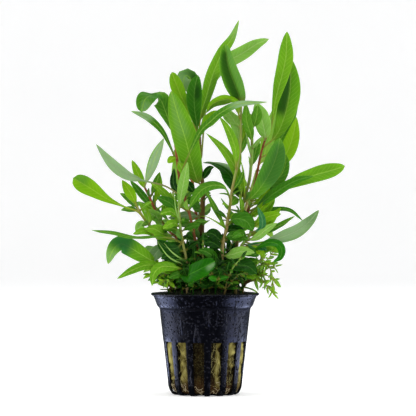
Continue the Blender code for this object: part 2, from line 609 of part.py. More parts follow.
def make_stem(name, parts, cutters):
    """A stem with the small leaves that are one piece with it. Gives back its route."""
    colour, foot, top, spots = STEMS[name]
    rows = max(5, len(spots) - 5)
    places = smooth_path([place(spot) for spot in spots], rows)
    radii = [foot + (top - foot) * k / rows for k in range(rows + 1)]
    look = material(name, colour, 0.5)
    stem = tube(name, places, radii, 1, parts, look)
    leafy = material("small_leaves", "bright", 0.4)
    for k, (height, width, facing, tail) in enumerate(SMALL_LEAVES.get(name, [])):
        start, _, _ = stem_place(name, height)
        route = [start] + [place(spot) for spot in tail]
        rows = 1 + len(tail)
        guide = blade(f"{name}_small_{k}", route, width, 0.2, 0.5, facing, 0.0, rows, cutters, leafy)
        boolean(stem, "UNION", as_cutter(guide))
    return name, places, radii


def make_leaf(name, parts):
    stem, height, width, stalk, broad, facing, fold, colour, tail = LEAVES[name]
    route = [place(spot) for spot in tail]
    route.insert(0, leaf_start(stem, height, route[0]))
    rows = min(1 + len(tail) + (len(tail) > 3), MOST_ROWS)
    look = material(name, colour, 0.4)
    full = FULLNESS.get(name, PLAIN_LANCE)
    blade(name, route, width, stalk, broad, facing, fold, rows, parts, look, full)


def make_sprig(name, parts, cutters):
    """A young shoot: pairs of small leaves, each a quarter turn from the pair below, and one at its tip."""
    pairs, longest, spots = SPRIGS[name]
    rows = 6
    places = smooth_path([place(spot) for spot in spots], rows)
    radii = [SPRIG_RADIUS * (1.0 - 0.3 * k / rows) for k in range(rows + 1)]
    look = material(name, "yellow", 0.45)
    shoot = tube(name, places, radii, 0, parts, look)
    ways = []
    for pair in range(pairs):
        k = rows - pairs + pair
        along = (places[k + 1] - places[k - 1]).normalized()
        across = along.cross(Vector((0, -1, 0.2))).normalized()
        if pair % 2:
            across = along.cross(across).normalized()
        length = longest * (1.0 - 0.3 * pair / (pairs - 1))
        for out in (-across, across):
            ways.append((places[k] + out * 0.15 * MM, out + along * 0.55, along, length))
    along = (places[-1] - places[-2]).normalized()
    across = along.cross(Vector((0, -1, 0.2))).normalized()
    ways.append((places[-1] - along * MM, along, along.cross(across), longest * 0.8))
    for k, (start, out, facing, length) in enumerate(ways):
        tip = start + out.normalized() * length * MM
        width = LEAFLET_SLENDER * length
        guide = blade(f"{name}_leaf_{k}", [start, tip], width, 0.15, 0.5, facing, 0.0, 2, cutters, look)
        boolean(shoot, "UNION", as_cutter(guide))
    return name, places, radii


def main():
    clear_scene()
    parts = new_collection("potted_hygrophila")
    cutters = new_collection("cutters")
    make_pot(parts, cutters)
    routes = [make_stem(name, parts, cutters) for name in STEMS]
    routes += [make_sprig(name, parts, cutters) for name in SPRIGS]
    make_wool(parts, cutters, routes)
    for name in LEAVES:
        make_leaf(name, parts)


main()
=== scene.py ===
"""The looks of a potted hygrophila: leaves, stems, young shoots, moss, rockwool, roots and net pot.

Metres, +Z up. The plant's front faces -Y. Tables of lengths are in millimetres, and a place on the plant
is given as seen square on from the front, on the plane through the pot's axis.
"""

import json
import math
import random

import bmesh
import bpy
from mathutils import Matrix, Vector, noise


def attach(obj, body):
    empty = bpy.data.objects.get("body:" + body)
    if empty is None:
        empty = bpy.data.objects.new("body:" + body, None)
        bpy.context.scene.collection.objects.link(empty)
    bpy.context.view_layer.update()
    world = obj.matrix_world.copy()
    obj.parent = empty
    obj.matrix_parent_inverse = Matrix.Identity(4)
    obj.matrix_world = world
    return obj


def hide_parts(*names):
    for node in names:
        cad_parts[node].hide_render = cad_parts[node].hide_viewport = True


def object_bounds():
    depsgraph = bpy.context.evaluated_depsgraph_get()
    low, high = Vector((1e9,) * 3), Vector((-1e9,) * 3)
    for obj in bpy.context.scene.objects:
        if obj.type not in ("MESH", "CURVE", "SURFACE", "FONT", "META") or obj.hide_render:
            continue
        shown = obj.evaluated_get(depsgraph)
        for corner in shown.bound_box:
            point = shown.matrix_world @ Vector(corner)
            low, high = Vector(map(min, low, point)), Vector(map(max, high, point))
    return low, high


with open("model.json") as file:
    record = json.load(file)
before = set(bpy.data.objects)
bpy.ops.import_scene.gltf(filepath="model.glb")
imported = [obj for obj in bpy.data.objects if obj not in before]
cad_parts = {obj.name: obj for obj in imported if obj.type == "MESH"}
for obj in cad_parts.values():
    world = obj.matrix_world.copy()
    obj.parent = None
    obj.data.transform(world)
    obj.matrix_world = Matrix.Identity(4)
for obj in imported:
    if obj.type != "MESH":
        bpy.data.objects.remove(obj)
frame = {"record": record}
cad_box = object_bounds()

MM = 0.001
FRONT = Vector((0, -1, 0))
UP = Vector((0, 0, 1))

# The eye: how far it is from the pot's axis, the middle of its view, and how wide that view is there
EYE_DISTANCE = 1150.0
SIGHT_X = 1.5
SIGHT_Z = 93.0
VIEW_WIDTH = 208.0
SENSOR_WIDTH = 36.0

# Pot
POT_HEIGHT = 50.6
RIM_RADIUS = 27.0
COLLAR_TOP_RADIUS = 25.8
COLLAR_FOOT_RADIUS = 24.1
COLLAR_FOOT = 44.3
WALL_TOP = COLLAR_FOOT - 1.6
WALL_TOP_RADIUS = 22.7
WALL_FOOT_RADIUS = 18.7
WALL_FOOT_HEIGHT = 7.0
BASE_RADIUS = 15.2
WALL = 0.9
SLOTS = 14
SLOT_ANGLE = 16.0
SLOT_TOP = 26.6
SLOT_INNER_RADIUS = 9.5
SLOT_LEFT_OF_FRONT = 9.2
EDGE_ROUNDING = 0.14

# Rockwool plug: nearly flat out to the crown's radius, then sloping down
WOOL_FOOT = 1.35
WOOL_EDGE_TOP = 49.0
WOOL_TOP = 55.2
WOOL_TOP_RADIUS = 21.0
WOOL_GAP = 0.15
CROWN_RADIUS = 9
CROWN_DROP = 0.8
MOUND_SLOPE = 0.42
WOOL_ROWS = 130
WOOL_STEPS_PER_SLOT = 20
WOOL_SIDE_SHARE = 0.66

# How many there are of each kind of loose growth
FIBRES = 420
ROOTS = 56
TUFTS = 5200
LOW_SHOOTS = 84
GOLDEN_ANGLE = 2.39996

# Where it grows: fibres and roots within so many degrees of a slot's middle, moss within a radius, and low
# shoots out to a spread, taller within a radius of the middle and painted darkest, as shade, within a half
# width
FIBRE_SPREAD = 6.5
ROOT_SPREAD = 5
MOSS_RADIUS = 20.8
LOW_SHOOT_SPREAD = 18.0
MIDDLE_RADIUS = 15
MIDDLE_EXTRA = 13.0
INNER_SHADE_HALF_WIDTH = 13

# Blades: half widths, half thicknesses, and the pitch, slant and height of the quilting between veins
STALK_HALF_WIDTH = 0.45
TIP_HALF_WIDTH = 0.06
STALK_HALF_THICKNESS = 0.38
BLADE_HALF_THICKNESS = 0.15
VEIN_PITCH = 2.6
VEIN_SLANT = 1.1
QUILT_HEIGHT = 0.18
MIDRIB_GROOVE = 0.1
MIDRIB_RIDGE = 0.18
MARGIN_CURL = 0.12
LEAST_QUILTED_HALF_WIDTH = 2.0

# The waves of a blade's margin: how many run along it, how high they are, and the width that has them whole
WAVE_COUNTS = (2.2, 3.8)
WAVE_HEIGHT = 0.25
WHOLE_WAVE_WIDTH = 8

# A blade opens over this part of its length, and thins towards its tip over this part
OPENING_SHARE = 0.2
TIP_SHARE = 0.1

# How full a plain lance shape is, and how far main leaves start past a stem's top or off its side
PLAIN_FULLNESS = 0.8
TOP_LEAF_GAP = 0.6
SIDE_LEAF_GAP = 0.5

# How many steps a path is drawn in
CURVE_STEPS = 12
STEM_STEPS = 160
LEAF_STEPS = 40
SMALL_LEAF_STEPS = 22
YOUNG_LEAF_STEPS = 8
SPRIG_STEPS = 30
SIDE_SHOOT_STEPS = 16
LOW_SHOOT_STEPS = 14
FIBRE_STEPS = 6
ROOT_STEPS = 20

# In how many parts a root wanders, and how thick a fibre of wool is
ROOT_PARTS = 10
FIBRE_RADIUS = 0.07

# Joints of stems: how much they swell, and over how many steps
JOINT_SWELLING = 0.16
JOINT_STEPS = 1.6

# Patches on blades fade over this part of the half width and of the length
PATCH_EDGE_ACROSS = 0.4
PATCH_EDGE_ALONG = 0.12

# Fill-in leaves: the heights of the lowest pair and the highest one, and the least height of a tip
FILL_FOOT = (57, 60)
FILL_TOP = 100
FILL_LEAST_TIP = 60

# Growth on a stem counts as wholly low at this height, and ever less so over this rise
LOW_FROM = 56
LOW_RISE = 45

# Where the foliage is open and the stems behind it show
OPENING_X = (13.5, 23)
OPENING_Z = (71, 81)
OPENING_BACK = 4

# A low leaf would hang over the rim beyond this radius and below this height
RIM_CLEAR_RADIUS = 17
RIM_CLEAR_HEIGHT = 57

# Small leaves keep this far inside the solids' box
BOX_SPARE = 1.5

# The tones that small leaves are drawn from, by where they grow: the darker tones are painted shade low down,
# in the middle and on shaded sprigs
LOW_SHADE_TONES = ("deep", "dark", "deep", "fresh")
HIGH_STEM_TONES = ("bright", "fresh", "fresh", "deep")
YOUNG_TONES = ("yellow", "fresh", "yellow", "bright")
SHADED_TONES = ("dark", "deep", "dark", "fresh")
INNER_SHADE_TONES = ("dark", "dark", "dark", "glossy")
OUTER_SHADE_TONES = ("dark", "dark", "deep", "glossy")
SHADED_SPRIGS = ("sprig_3", "sprig_4")

# Each stem: its look, its radius at the foot and at the top, and the places it runs through
STEMS = {
    "stem_1": ("red", 0.8, 0.55, [
        (-2, -8, 46), (-2.5, -8, 56), (-3.5, -9, 70), (-5.5, -10, 80), (-8, -11, 91),
        (-11, -12, 101), (-13, -13, 109), (-14, -14, 117), (-15, -14.5, 125), (-16.5, -15, 131),
    ]),
    "stem_2": ("brown", 2.3, 0.45, [
        (-2, 2, 46), (-2, 2, 56), (-2.5, 2, 72), (-2, 2, 80), (-1, 1.5, 100),
        (-1.5, 1.5, 108), (-2.5, 1, 117), (-2.5, 1, 127), (-2.8, 1, 132),
    ]),
    "stem_3": ("tan", 0.85, 0.55, [
        (6, -10, 46), (7.5, -10, 56), (8.2, -10, 65), (9, -10.5, 75), (10.5, -10.5, 82),
        (12, -10.5, 91), (13.5, -10.5, 102), (15, -10, 109), (16.5, -9.5, 116),
        (17.5, -9, 123), (18, -8, 134), (18, -8, 144),
    ]),
    "stem_4": ("red", 1.1, 0.45, [
        (9, 6, 46), (10.5, 6, 56), (14.5, 6, 72), (19.5, 7, 85), (22.5, 8, 95),
        (25, 9, 105), (27.5, 9.5, 118), (30, 10, 127), (32.5, 10, 132),
    ]),
    "stem_5": ("green", 0.9, 0.7, [
        (13, -3, 46), (13.5, -3, 56), (16, -4, 75), (19, -4, 95), (21, -4, 102),
        (22.5, -4, 109), (23.5, -4, 122), (23.3, -4, 132), (22.5, -4, 140),
    ]),
    "stem_6": ("tan", 0.75, 0.55, [
        (-7, -9, 46), (-7.5, -9, 58), (-11, -10.5, 66), (-20, -12, 72.5), (-28.5, -14, 85),
        (-32.5, -15, 91), (-34, -15.5, 94),
    ]),
    "stem_7": ("red", 0.75, 0.55, [
        (-6.5, 0, 46), (-6, 0, 56), (-6.5, -1, 66), (-12.5, -2, 76), (-17.5, -2, 81),
        (-21, -2.5, 85), (-24.5, -3, 91), (-27.5, -3, 98), (-30, -3, 103),
    ]),
    "stem_8": ("tan", 0.75, 0.55, [
        (-9, -14, 46), (-9, -14, 56), (-9.5, -14, 68), (-11, -15, 75), (-12.5, -16, 85),
        (-13, -16, 91),
    ]),
    "stem_9": ("green", 0.9, 0.7, [
        (15, -12, 46), (15.5, -12, 56), (17.5, -13, 72), (22, -13, 79), (23.5, -13, 83),
    ]),
    "stem_10": ("green", 0.9, 0.7, [
        (-9, 9, 46), (-10, 10, 56), (-13, 15, 72), (-15, 20, 86), (-16, 24, 100),
    ]),
    "stem_11": ("tan", 0.9, 0.7, [
        (8, 13, 46), (9, 14, 56), (14, 19, 74), (20, 24, 92), (26, 28, 112),
    ]),
    "stem_12": ("red", 0.9, 0.7, [
        (-1, 14, 46), (-1.5, 15, 56), (-3, 20, 76), (-5, 25, 95), (-7, 28, 112), (-8, 30, 124),
    ]),
}

# Each leaf, named for its stem: the height it leaves it at (None is the stem's top), its width, the part of
# its length that is stalk, the part of the blade's length where it is broadest, the way its upper face
# looks, its fold along the midrib, its tone, and the places it runs through to its tip. A way has three
# parts, and a single number is how far up a face looks from the front
LEAVES = {
    "leaf_1a": (129, 10.6, 0.10, 0.68, (-0.3, -1, 0.2), 0.12, "fresh", [
        (-17.5, -15, 135), (-20, -15.5, 142), (-22.2, -16.5, 147), (-26, -19, 149.3),
        (-30, -21.5, 147.2), (-31.8, -22.5, 141),
    ]),
    "leaf_1b": (117, 4.4, 0.10, 0.68, (0.2, -1, 0.4), 0.25, "fresh", [
        (-17.5, -11, 124), (-22, -9, 132), (-28.5, -8, 138), (-37, -8, 141.5),
    ]),
    "leaf_1c": (99, 6.6, 0.45, 0.45, (0.3, -1, 0.6), 0.20, "grey", [
        (-20, -14, 104), (-30, -17, 106.5), (-38.5, -18, 109), (-45, -19, 113.5), (-50, -19.5, 119),
        (-54.5, -20, 125),
    ]),
    "leaf_1d": (108, 4.4, 0.25, 0.5, (0.2, -1, 0.3), 0.20, "fresh", [
        (-10.5, -18, 114), (-7.5, -22, 121), (-2.5, -25, 131), (2.5, -24, 136), (8.5, -20, 141),
        (17.5, -14, 145), (31.5, -8, 146),
    ]),
    "leaf_2a": (None, 7.2, 0.10, 0.45, (-0.3, -1, 0.2), 0.25, "bright", [
        (-2.2, 0.5, 139), (0.8, 1.5, 149), (4, 2.5, 160), (8.5, 3.5, 170.5), (13.5, 4, 178), (17, 4, 187),
    ]),
    "leaf_2b": (104, 12.8, 0.10, 0.52, (-0.2, -1, 0.25), 0.12, "bright", [
        (-3.8, -6, 107), (-7, -14, 117), (-9.9, -19.5, 128), (-13.4, -20.5, 139), (-17, -19, 151.5),
    ]),
    "leaf_2c": (128, 7.2, 0.35, 0.65, (-0.2, -1, 0.2), 0.25, "yellow", [
        (-5.5, 3, 135), (-8, 5, 141), (-11.5, 6, 148), (-14.5, 7, 155), (-16.5, 8, 161),
    ]),
    "leaf_2d": (126, 8.4, 0.24, 0.6, 0.1, 0.10, "deep", [
        (-4.2, -3, 135.5), (-5.2, -4, 142.5), (-5.4, -5, 149), (-4.8, -5, 154.5), (-3.6, -5, 159.5),
    ]),
    "leaf_2e": (122, 8.8, 0.30, 0.66, 0.3, 0.10, "fresh", [
        (-4, 7, 135), (-5, 11, 146), (-6, 12.5, 154), (-8, 13, 158.6), (-10, 13, 159),
        (-10.8, 11.5, 156), (-10.8, 11, 150.5),
    ]),
    "leaf_2f": (118, 8.4, 0.45, 0.55, 0.3, 0.20, "pale", [
        (0, 5, 140), (1.5, 7, 150), (5, 8.5, 160), (11, 10, 166), (19, 10, 170.5),
        (26, 9, 175), (32, 9, 177.5),
    ]),
    "leaf_3a": (None, 10.0, 0.04, 0.45, (-0.3, -1, 0.1), 0.30, "fresh", [
        (16.8, -8.5, 149.5), (13.8, -9, 157.2), (11.3, -9.5, 164.8), (10.2, -9, 174.8),
    ]),
    "leaf_3b": (138, 6.0, 0.12, 0.5, 0.5, 0.15, "yellow", [
        (15, -11.5, 146.5), (9, -13.5, 147), (4, -14.5, 145), (0.5, -15, 140.5),
    ]),
    "leaf_3c": (113, 4.8, 0.12, 0.45, (-0.2, -1, 0.2), 0.25, "bright", [
        (15.5, -13, 121), (13.5, -14, 128), (10.5, -15, 134), (7, -16, 139),
    ]),
    "leaf_3d": (88, 6.0, 0.42, 0.5, 0.5, 0.20, "fresh", [
        (12.6, -13.5, 93), (12.3, -15, 98), (10, -18, 103), (5, -20, 104.4), (0, -21, 103), (-4, -22, 99.4),
        (-8, -22, 93),
    ]),
    "leaf_4a": (None, 8.6, 0.10, 0.66, (-0.25, -1, 0.15), 0.20, "bright", [
        (33.8, 9, 137), (35, 8.5, 145), (36.8, 8, 153), (39, 7.5, 161), (40.5, 7, 169), (41, 6, 181.3),
    ]),
    "leaf_4b": (124, 11.2, 0.15, 0.55, (0.2, -1, 0.1), 0.30, "bright", [
        (34.5, 14, 128), (38, 15, 134), (41.2, 15.5, 144), (42.8, 16, 155), (42.6, 15, 168),
    ]),
    "leaf_4c": (112, 8.5, 0.15, 0.5, (0.2, -1, 0.3), 0.20, "yellow", [
        (34, 10, 113), (40.5, 10, 120), (44, 10, 129), (45.8, 10, 138.5),
    ]),
    "leaf_4d": (97, 7.5, 0.30, 0.5, (-0.3, -1, 0.4), 0.15, "fresh", [
        (30, -1, 102), (37, -5, 108), (40, -6, 114), (40.5, -6, 120),
    ]),
    "leaf_4e": (92, 9.4, 0.28, 0.7, (-0.2, -1, 0.45), 0.20, "bright", [
        (28.5, 1, 95), (37, -3, 102), (45, -6, 106), (55, -8, 109.5), (64, -9, 112), (70, -10, 114),
    ]),
    "leaf_4f": (127, 9.2, 0.08, 0.5, (0.2, -1, 0.3), 0.12, "pale", [
        (30, 7, 130), (28.8, 6, 136), (27.2, 5, 141), (25.2, 4, 145.5),
    ]),
    "leaf_5a": (96, 11.5, 0.12, 0.6, (0.35, -1, -0.1), 0.15, "fresh", [
        (24, -12, 99), (29, -15, 105), (33, -17, 112), (36, -17, 120), (37.5, -14, 128),
    ]),
    "leaf_5b": (93, 5.0, 0.20, 0.45, 0.1, 0.20, "bright", [
        (18, -6, 103), (14.5, -6, 114), (8.5, -8, 123), (0.5, -9, 130.5),
    ]),
    "leaf_5c": (95, 9.0, 0.12, 0.42, 0.25, 0.20, "dark", [
        (17.2, -2, 101), (13, 0, 108.5), (8.5, 0, 113), (3.5, -1, 115.2), (-1.2, -2, 115.6),
    ]),
    "leaf_6a": (86, 9.6, 0.36, 0.78, (0.1, -1, 0.3), 0.15, "yellow", [
        (-33.5, -18.5, 91), (-40, -19, 93.5), (-48, -20, 97), (-56, -21, 102), (-62.5, -22, 106),
        (-66, -22, 108),
    ]),
    "leaf_6b": (None, 5.6, 0.10, 0.5, 0.3, 0.20, "yellow", [
        (-36.5, -13, 99), (-39, -11, 103), (-41.5, -10, 107),
    ]),
    "leaf_6c": (66, 9.2, 0.30, 0.5, 0.3, 0.20, "bright", [
        (-18.5, -15, 65.5), (-25, -18.5, 66), (-31.5, -21, 69.5), (-38, -24, 73.5), (-43, -26, 75),
        (-46.5, -27.5, 71), (-48.5, -29, 65),
    ]),
    "leaf_7a": (None, 5.6, 0.12, 0.5, 0.1, 0.10, "pale", [
        (-28, -4, 110), (-24.5, -4, 119.5), (-20.5, -4, 128),
    ]),
    "leaf_8a": (None, 5.6, 0.15, 0.5, 0.1, 0.15, "pale", [
        (-12, -19, 99), (-10.5, -22.5, 107), (-8.7, -25, 116),
    ]),
    "leaf_8b": (76, 6.5, 0.25, 0.45, (0.0, -0.15, 1), 0.20, "fresh", [
        (-17, -20, 78), (-26, -25, 78.5), (-34, -29, 78), (-45, -33, 80), (-57, -35, 82),
    ]),
    "leaf_8c": (58, 9.2, 0.10, 0.56, (0.1, -1, 0.3), 0.03, "glossy", [
        (-8, -24, 59.6), (-4.5, -27, 61.4), (0, -29, 63.8), (5, -30, 66.4),
    ]),
    "leaf_9a": (74, 7.8, 0.25, 0.5, 0.6, 0.12, "grey", [
        (28.5, -17, 75), (35.5, -20, 77.5), (45, -23, 81), (52, -25, 86), (57, -26, 92),
    ]),
    "leaf_9b": (70, 5.0, 0.25, 0.5, 0.6, 0.20, "glossy", [
        (25, -17, 72.3), (28.5, -20, 74.3), (32.5, -23, 75.8), (36.5, -25, 74.8), (38.4, -26, 71.8),
        (37.5, -27, 68.3), (34, -28, 66),
    ]),
    "leaf_10a": (None, 9.0, 0.12, 0.5, (0.2, 1, 0.4), 0.20, "bright", [
        (-14, 30, 108), (-11, 38, 120), (-8, 44, 131),
    ]),
    "leaf_10b": (84, 8.5, 0.20, 0.5, (0.0, 0.3, 1), 0.20, "fresh", [
        (-22, 30, 90), (-30, 40, 95), (-38, 48, 93),
    ]),
    "leaf_10c": (70, 8.5, 0.20, 0.5, (0.0, 0.3, 1), 0.20, "deep", [
        (-20, 26, 72), (-26, 38, 73), (-30, 50, 68),
    ]),
    "leaf_11a": (None, 9.0, 0.12, 0.5, (0.2, 1, 0.4), 0.20, "bright", [
        (30, 34, 121), (34, 40, 134), (36, 44, 146),
    ]),
    "leaf_11b": (95, 8.5, 0.20, 0.5, (0.0, 0.3, 1), 0.20, "fresh", [
        (30, 34, 98), (40, 44, 104), (50, 52, 106),
    ]),
    "leaf_11c": (78, 8.5, 0.20, 0.5, (0.0, 0.3, 1), 0.20, "yellow", [
        (20, 30, 82), (28, 42, 84), (34, 54, 78),
    ]),
    "leaf_12a": (None, 8.0, 0.12, 0.5, (-0.2, 1, 0.3), 0.20, "bright", [
        (-10, 36, 134), (-8, 42, 146), (-4, 46, 156),
    ]),
    "leaf_12b": (104, 8.5, 0.20, 0.5, (0.0, 0.5, 1), 0.20, "fresh", [
        (-6, 36, 108), (-9, 44, 114), (-11, 51, 110),
    ]),
}

# How full a blade is drawn: less than the plain fullness is fuller and blunter
FULLNESS = {
    "leaf_1a": 0.48, "leaf_2a": 0.7, "leaf_2b": 0.62, "leaf_2c": 0.55, "leaf_2d": 0.6, "leaf_2e": 0.45,
    "leaf_2f": 0.6, "leaf_3a": 0.5, "leaf_4a": 0.7, "leaf_4b": 0.65, "leaf_4e": 0.55, "leaf_4f": 0.6,
    "leaf_5a": 0.7, "leaf_6a": 0.48, "leaf_6c": 0.65, "leaf_8c": 0.36, "leaf_9a": 0.7, "leaf_9b": 0.65,
}

# Leaves that turn on their way: how their upper face looks at even steps from foot to tip
TURNS = {
    "leaf_1a": [
        (-0.3, -1, 0.2), (-0.3, -1, 0.2), (-0.3, -1, 0.2), (-0.25, -1, 0.3), (0, -0.35, 1), (-0.15, -1, 0.5),
        (-0.2, -1, 0.2),
    ],
    "leaf_3b": [(0, -1, 0.6), (0, -0.7, 0.9), (0, -1, 0.4), (-0.3, -1, 0.2)],
    "leaf_5c": [(0, -1, 0.1), (0, -1, 0.1), (0, -1, 0.4), (0, -0.6, 1), (0, -0.5, 1)],
    "leaf_6c": [(0, -1, 0.3), (0, -1, 0.2), (0, -1, 0.2), (-0.2, -1, 0.3), (-0.4, -1, 0)],
    "leaf_8b": [(0, -0.1, 1), (0, -0.15, 1), (0, -0.4, 1), (0, -0.6, 1)],
    "leaf_9b": [(0, -0.8, 1), (0, -1, 0.9), (0.2, -1, 0.5), (0.4, -1, 0.1)],
}

# Darker patches of painted shade on blades, where one leaf shades another or a fold turns away from the
# light: from and to across the blade, from and to along it, and how strong
PAINTED_SHADE = {
    "leaf_2a": (0.05, 1.3, -0.2, 0.5, 0.5),
    "leaf_2b": (-1.3, 1.3, -0.2, 0.3, 0.2),
    "leaf_2c": (-0.2, 1.3, 0.2, 0.62, 0.4),
    "leaf_2d": (0.0, 0.8, 0.64, 0.86, 1.0),
    "leaf_2e": (0.15, 1.3, 0.60, 0.80, 1.0),
    "leaf_3a": (-0.8, 0.15, -0.1, 0.9, 0.9),
    "leaf_3b": (-1.3, 0.1, 0.45, 1.2, 0.7),
    "leaf_3d": (-1.3, 1.3, 0.0, 0.35, 0.5),
    "leaf_4b": (-1.3, 0.0, 0.42, 0.95, 1.0),
    "leaf_5a": (-0.5, 1.3, 0.45, 0.92, 0.45),
}

# Blue-green patches of painted shade, given in the same way
PAINTED_TEAL_SHADE = {
    "leaf_5a": (-1.3, 1.3, 0.4, 0.95, 0.35),
    "leaf_6a": (-0.1, 1.3, 0.84, 1.2, 0.5),
    "leaf_6c": (-1.3, 1.3, 0.62, 0.82, 1.0),
    "leaf_1a": (-1.3, 0.5, 0.55, 0.78, 0.35),
}

# Paler, greyer patches of painted sheen, where a blade catches the light, given in the same way
PAINTED_SHEEN = {
    "leaf_1a": (-1.3, 0.3, 0.84, 1.2, 0.25),
    "leaf_1b": (-1.3, 1.3, 0.7, 1.2, 0.8),
    "leaf_1c": (-1.3, 1.3, 0.5, 1.2, 0.5),
    "leaf_1d": (-1.3, 1.3, 0.72, 1.2, 0.7),
    "leaf_2a": (-1.3, 1.3, 0.84, 1.2, 0.35),
    "leaf_2b": (-0.6, 0.5, 0.6, 1.2, 0.15),
    "leaf_2e": (-1.3, 1.3, 0.8, 1.2, 0.4),
    "leaf_3a": (0.2, 1.3, 0.1, 1.2, 0.12),
    "leaf_5c": (0.4, 1.3, 0.5, 1.2, 0.8),
    "leaf_6c": (-1.3, 1.3, 0.86, 1.2, 0.4),
    "leaf_7a": (-0.8, 1.3, 0.1, 1.2, 1.0),
    "leaf_8c": (0.0, 0.8, 0.8, 0.98, 0.45),
    "leaf_9a": (-1.3, 0.8, 0.25, 0.8, 0.4),
}

# Each kind of patch of painted shade or sheen, by the mark that shows it
PATCHES = {"dusk": PAINTED_SHADE, "teal": PAINTED_TEAL_SHADE, "frost": PAINTED_SHEEN}

# Small leaves that are one piece with their stem: height, width, facing, tone, places to the tip
SMALL_LEAVES = {
    "stem_1": [
        (97, 4.0, (-0.3, -1, 0), "dark", [(-15.5, -7, 104), (-15.5, -5, 113)]),
        (91, 4.5, 0.5, "bright", [(-17, -8, 97), (-22, -8, 102), (-27.5, -9, 106)]),
    ],
    "stem_2": [
        (88, 4.6, 0.2, "grey", [(-8, -4, 89.5), (-14, -7, 88.5), (-18.5, -8, 88)]),
    ],
    "stem_3": [
        (122, 6.0, 0.2, "pale", [(16, -6, 133), (13, -5, 139), (9.5, -4, 143)]),
        (82, 3.2, 0.3, "fresh", [(6, -8, 91), (0.8, -7, 101)]),
        (84, 8.6, 0.5, "deep", [(15, -14, 87.5), (20.5, -16, 86.5), (24, -17, 81.5)]),
        (69, 6.2, 0.3, "pale", [(12.5, -16, 69.5), (18.5, -20, 71.2), (24.8, -21, 70.8)]),
        (64, 9.0, 0.7, "dark", [(14, -18, 65), (21, -22, 64), (26, -23, 60)]),
    ],
    "stem_4": [
        (118, 6.0, (0.3, -1, 0.2), "fresh", [(34, 15, 122), (40, 19, 131), (43.5, 21, 139), (46.5, 22, 146)]),
        (87, 3.0, 0.6, "deep", [(28.5, 4, 91), (36, 2, 92.6), (43, 1, 91.6), (49, 0, 86.5)]),
        (79, 3.5, 0.6, "fresh", [(32, 8, 82), (45, 8, 89)]),
        (86, 5.0, 0.2, "yellow", [(31, 0, 86), (35, -2, 90), (38, -3, 93)]),
        (92, 4.5, 0.2, "bright", [(30, 2, 92), (33, 1, 95), (35, 1, 98)]),
    ],
    "stem_5": [
        (88, 2.6, 0.1, "bright", [(18.5, -8, 94), (17, -9.5, 100)]),
        (132, 4.2, (-0.2, -1, 0.1), "yellow", [(21.3, -6, 137.5), (19.5, -7, 143.5)]),
        (132, 6.0, (0.2, -1, 0.1), "fresh", [(25.6, -7, 137.5), (26.3, -8, 144.5)]),
    ],
    "stem_6": [
        (92, 4.0, 0.5, "fresh", [(-38, -9, 97.5), (-42.5, -7, 100.5)]),
        (79, 4.0, 0.3, "bright", [(-30, -17, 81.5), (-36, -19, 80)]),
        (64, 5.4, 0.5, "bright", [
            (-16, -17, 61), (-27, -23, 64.5), (-36, -28, 62), (-44, -32, 57.5)]),
    ],
    "stem_7": [
        (100, 4.6, 0.2, "yellow", [(-33, 0, 109), (-36.5, 2, 117)]),
        (91, 4.2, 0.3, "deep", [(-31, 3, 99), (-37.5, 6, 107)]),
        (94, 4.2, 0.1, "yellow", [(-23.5, -1, 101), (-22.5, 0, 110)]),
        (84, 6.0, 0.4, "pale", [(-25, -6, 89), (-30.5, -8, 91.5)]),
        (79, 7.6, 0.3, "bright", [(-21, -16, 80), (-25, -18, 82.3), (-30, -18, 82.5)]),
    ],
    "stem_8": [
        (87, 4.6, 0.4, "bright", [(-17, -19, 91), (-22.5, -21, 90)]),
        (83, 4.6, 0.4, "bright", [(-16, -19, 85.5), (-21, -21, 82.5)]),
        (89, 5.5, 0.3, "deep", [(-17, -13, 95), (-24, -11, 98.5)]),
        (62, 5.8, 0.3, "bright", [
            (-16, -21, 63.5), (-22, -26, 63.5), (-25.5, -28, 60), (-26.5, -29, 54)]),
        (76, 7.0, 0.1, "dark", [(-14, -18, 73), (-19, -21, 73), (-24, -23, 77)]),
        (64, 4.0, 0.5, "dark", [(-14, -19, 67), (-21.5, -22, 69)]),
    ],
    "stem_9": [
        (82, 6.0, 0.5, "yellow", [(28, -15, 87), (33, -16, 89), (38, -17, 90)]),
        (79, 3.5, 0.6, "fresh", [(30, -13, 81), (41.5, -13, 86)]),
        (81, 3.8, (0.1, -1, 0), "teal", [(28, -18, 82.5), (28.6, -19, 87.5), (26.3, -18, 93.5)]),
        (77, 5.0, 0.7, "deep", [(18.5, -17, 80.5), (13.5, -19, 78)]),
    ],
    "stem_10": [
        (76, 5.0, (0, 0.4, 1), "fresh", [(-8, 22, 80), (-4, 30, 84)]),
        (90, 5.0, (0.3, 1, 0.5), "bright", [(-10, 26, 98), (-7, 32, 106)]),
        (62, 5.0, (0, 0.4, 1), "deep", [(-8, 20, 62), (-6, 28, 60)]),
    ],
    "stem_11": [
        (86, 5.0, (0, 0.4, 1), "fresh", [(12, 30, 92), (8, 36, 98)]),
        (66, 5.0, (0, 0.4, 1), "deep", [(18, 26, 67), (24, 34, 64)]),
        (102, 5.0, (0.3, 1, 0.5), "bright", [(18, 34, 108), (14, 40, 114)]),
    ],
    "stem_12": [
        (90, 5.0, (0, 0.4, 1), "fresh", [(-14, 36, 95), (-20, 42, 97)]),
        (76, 5.0, (0, 0.4, 1), "deep", [(2, 30, 80), (6, 38, 82)]),
        (112, 5.0, (0.3, 1, 0.5), "bright", [(-4, 36, 119), (-2, 41, 125)]),
    ],
}

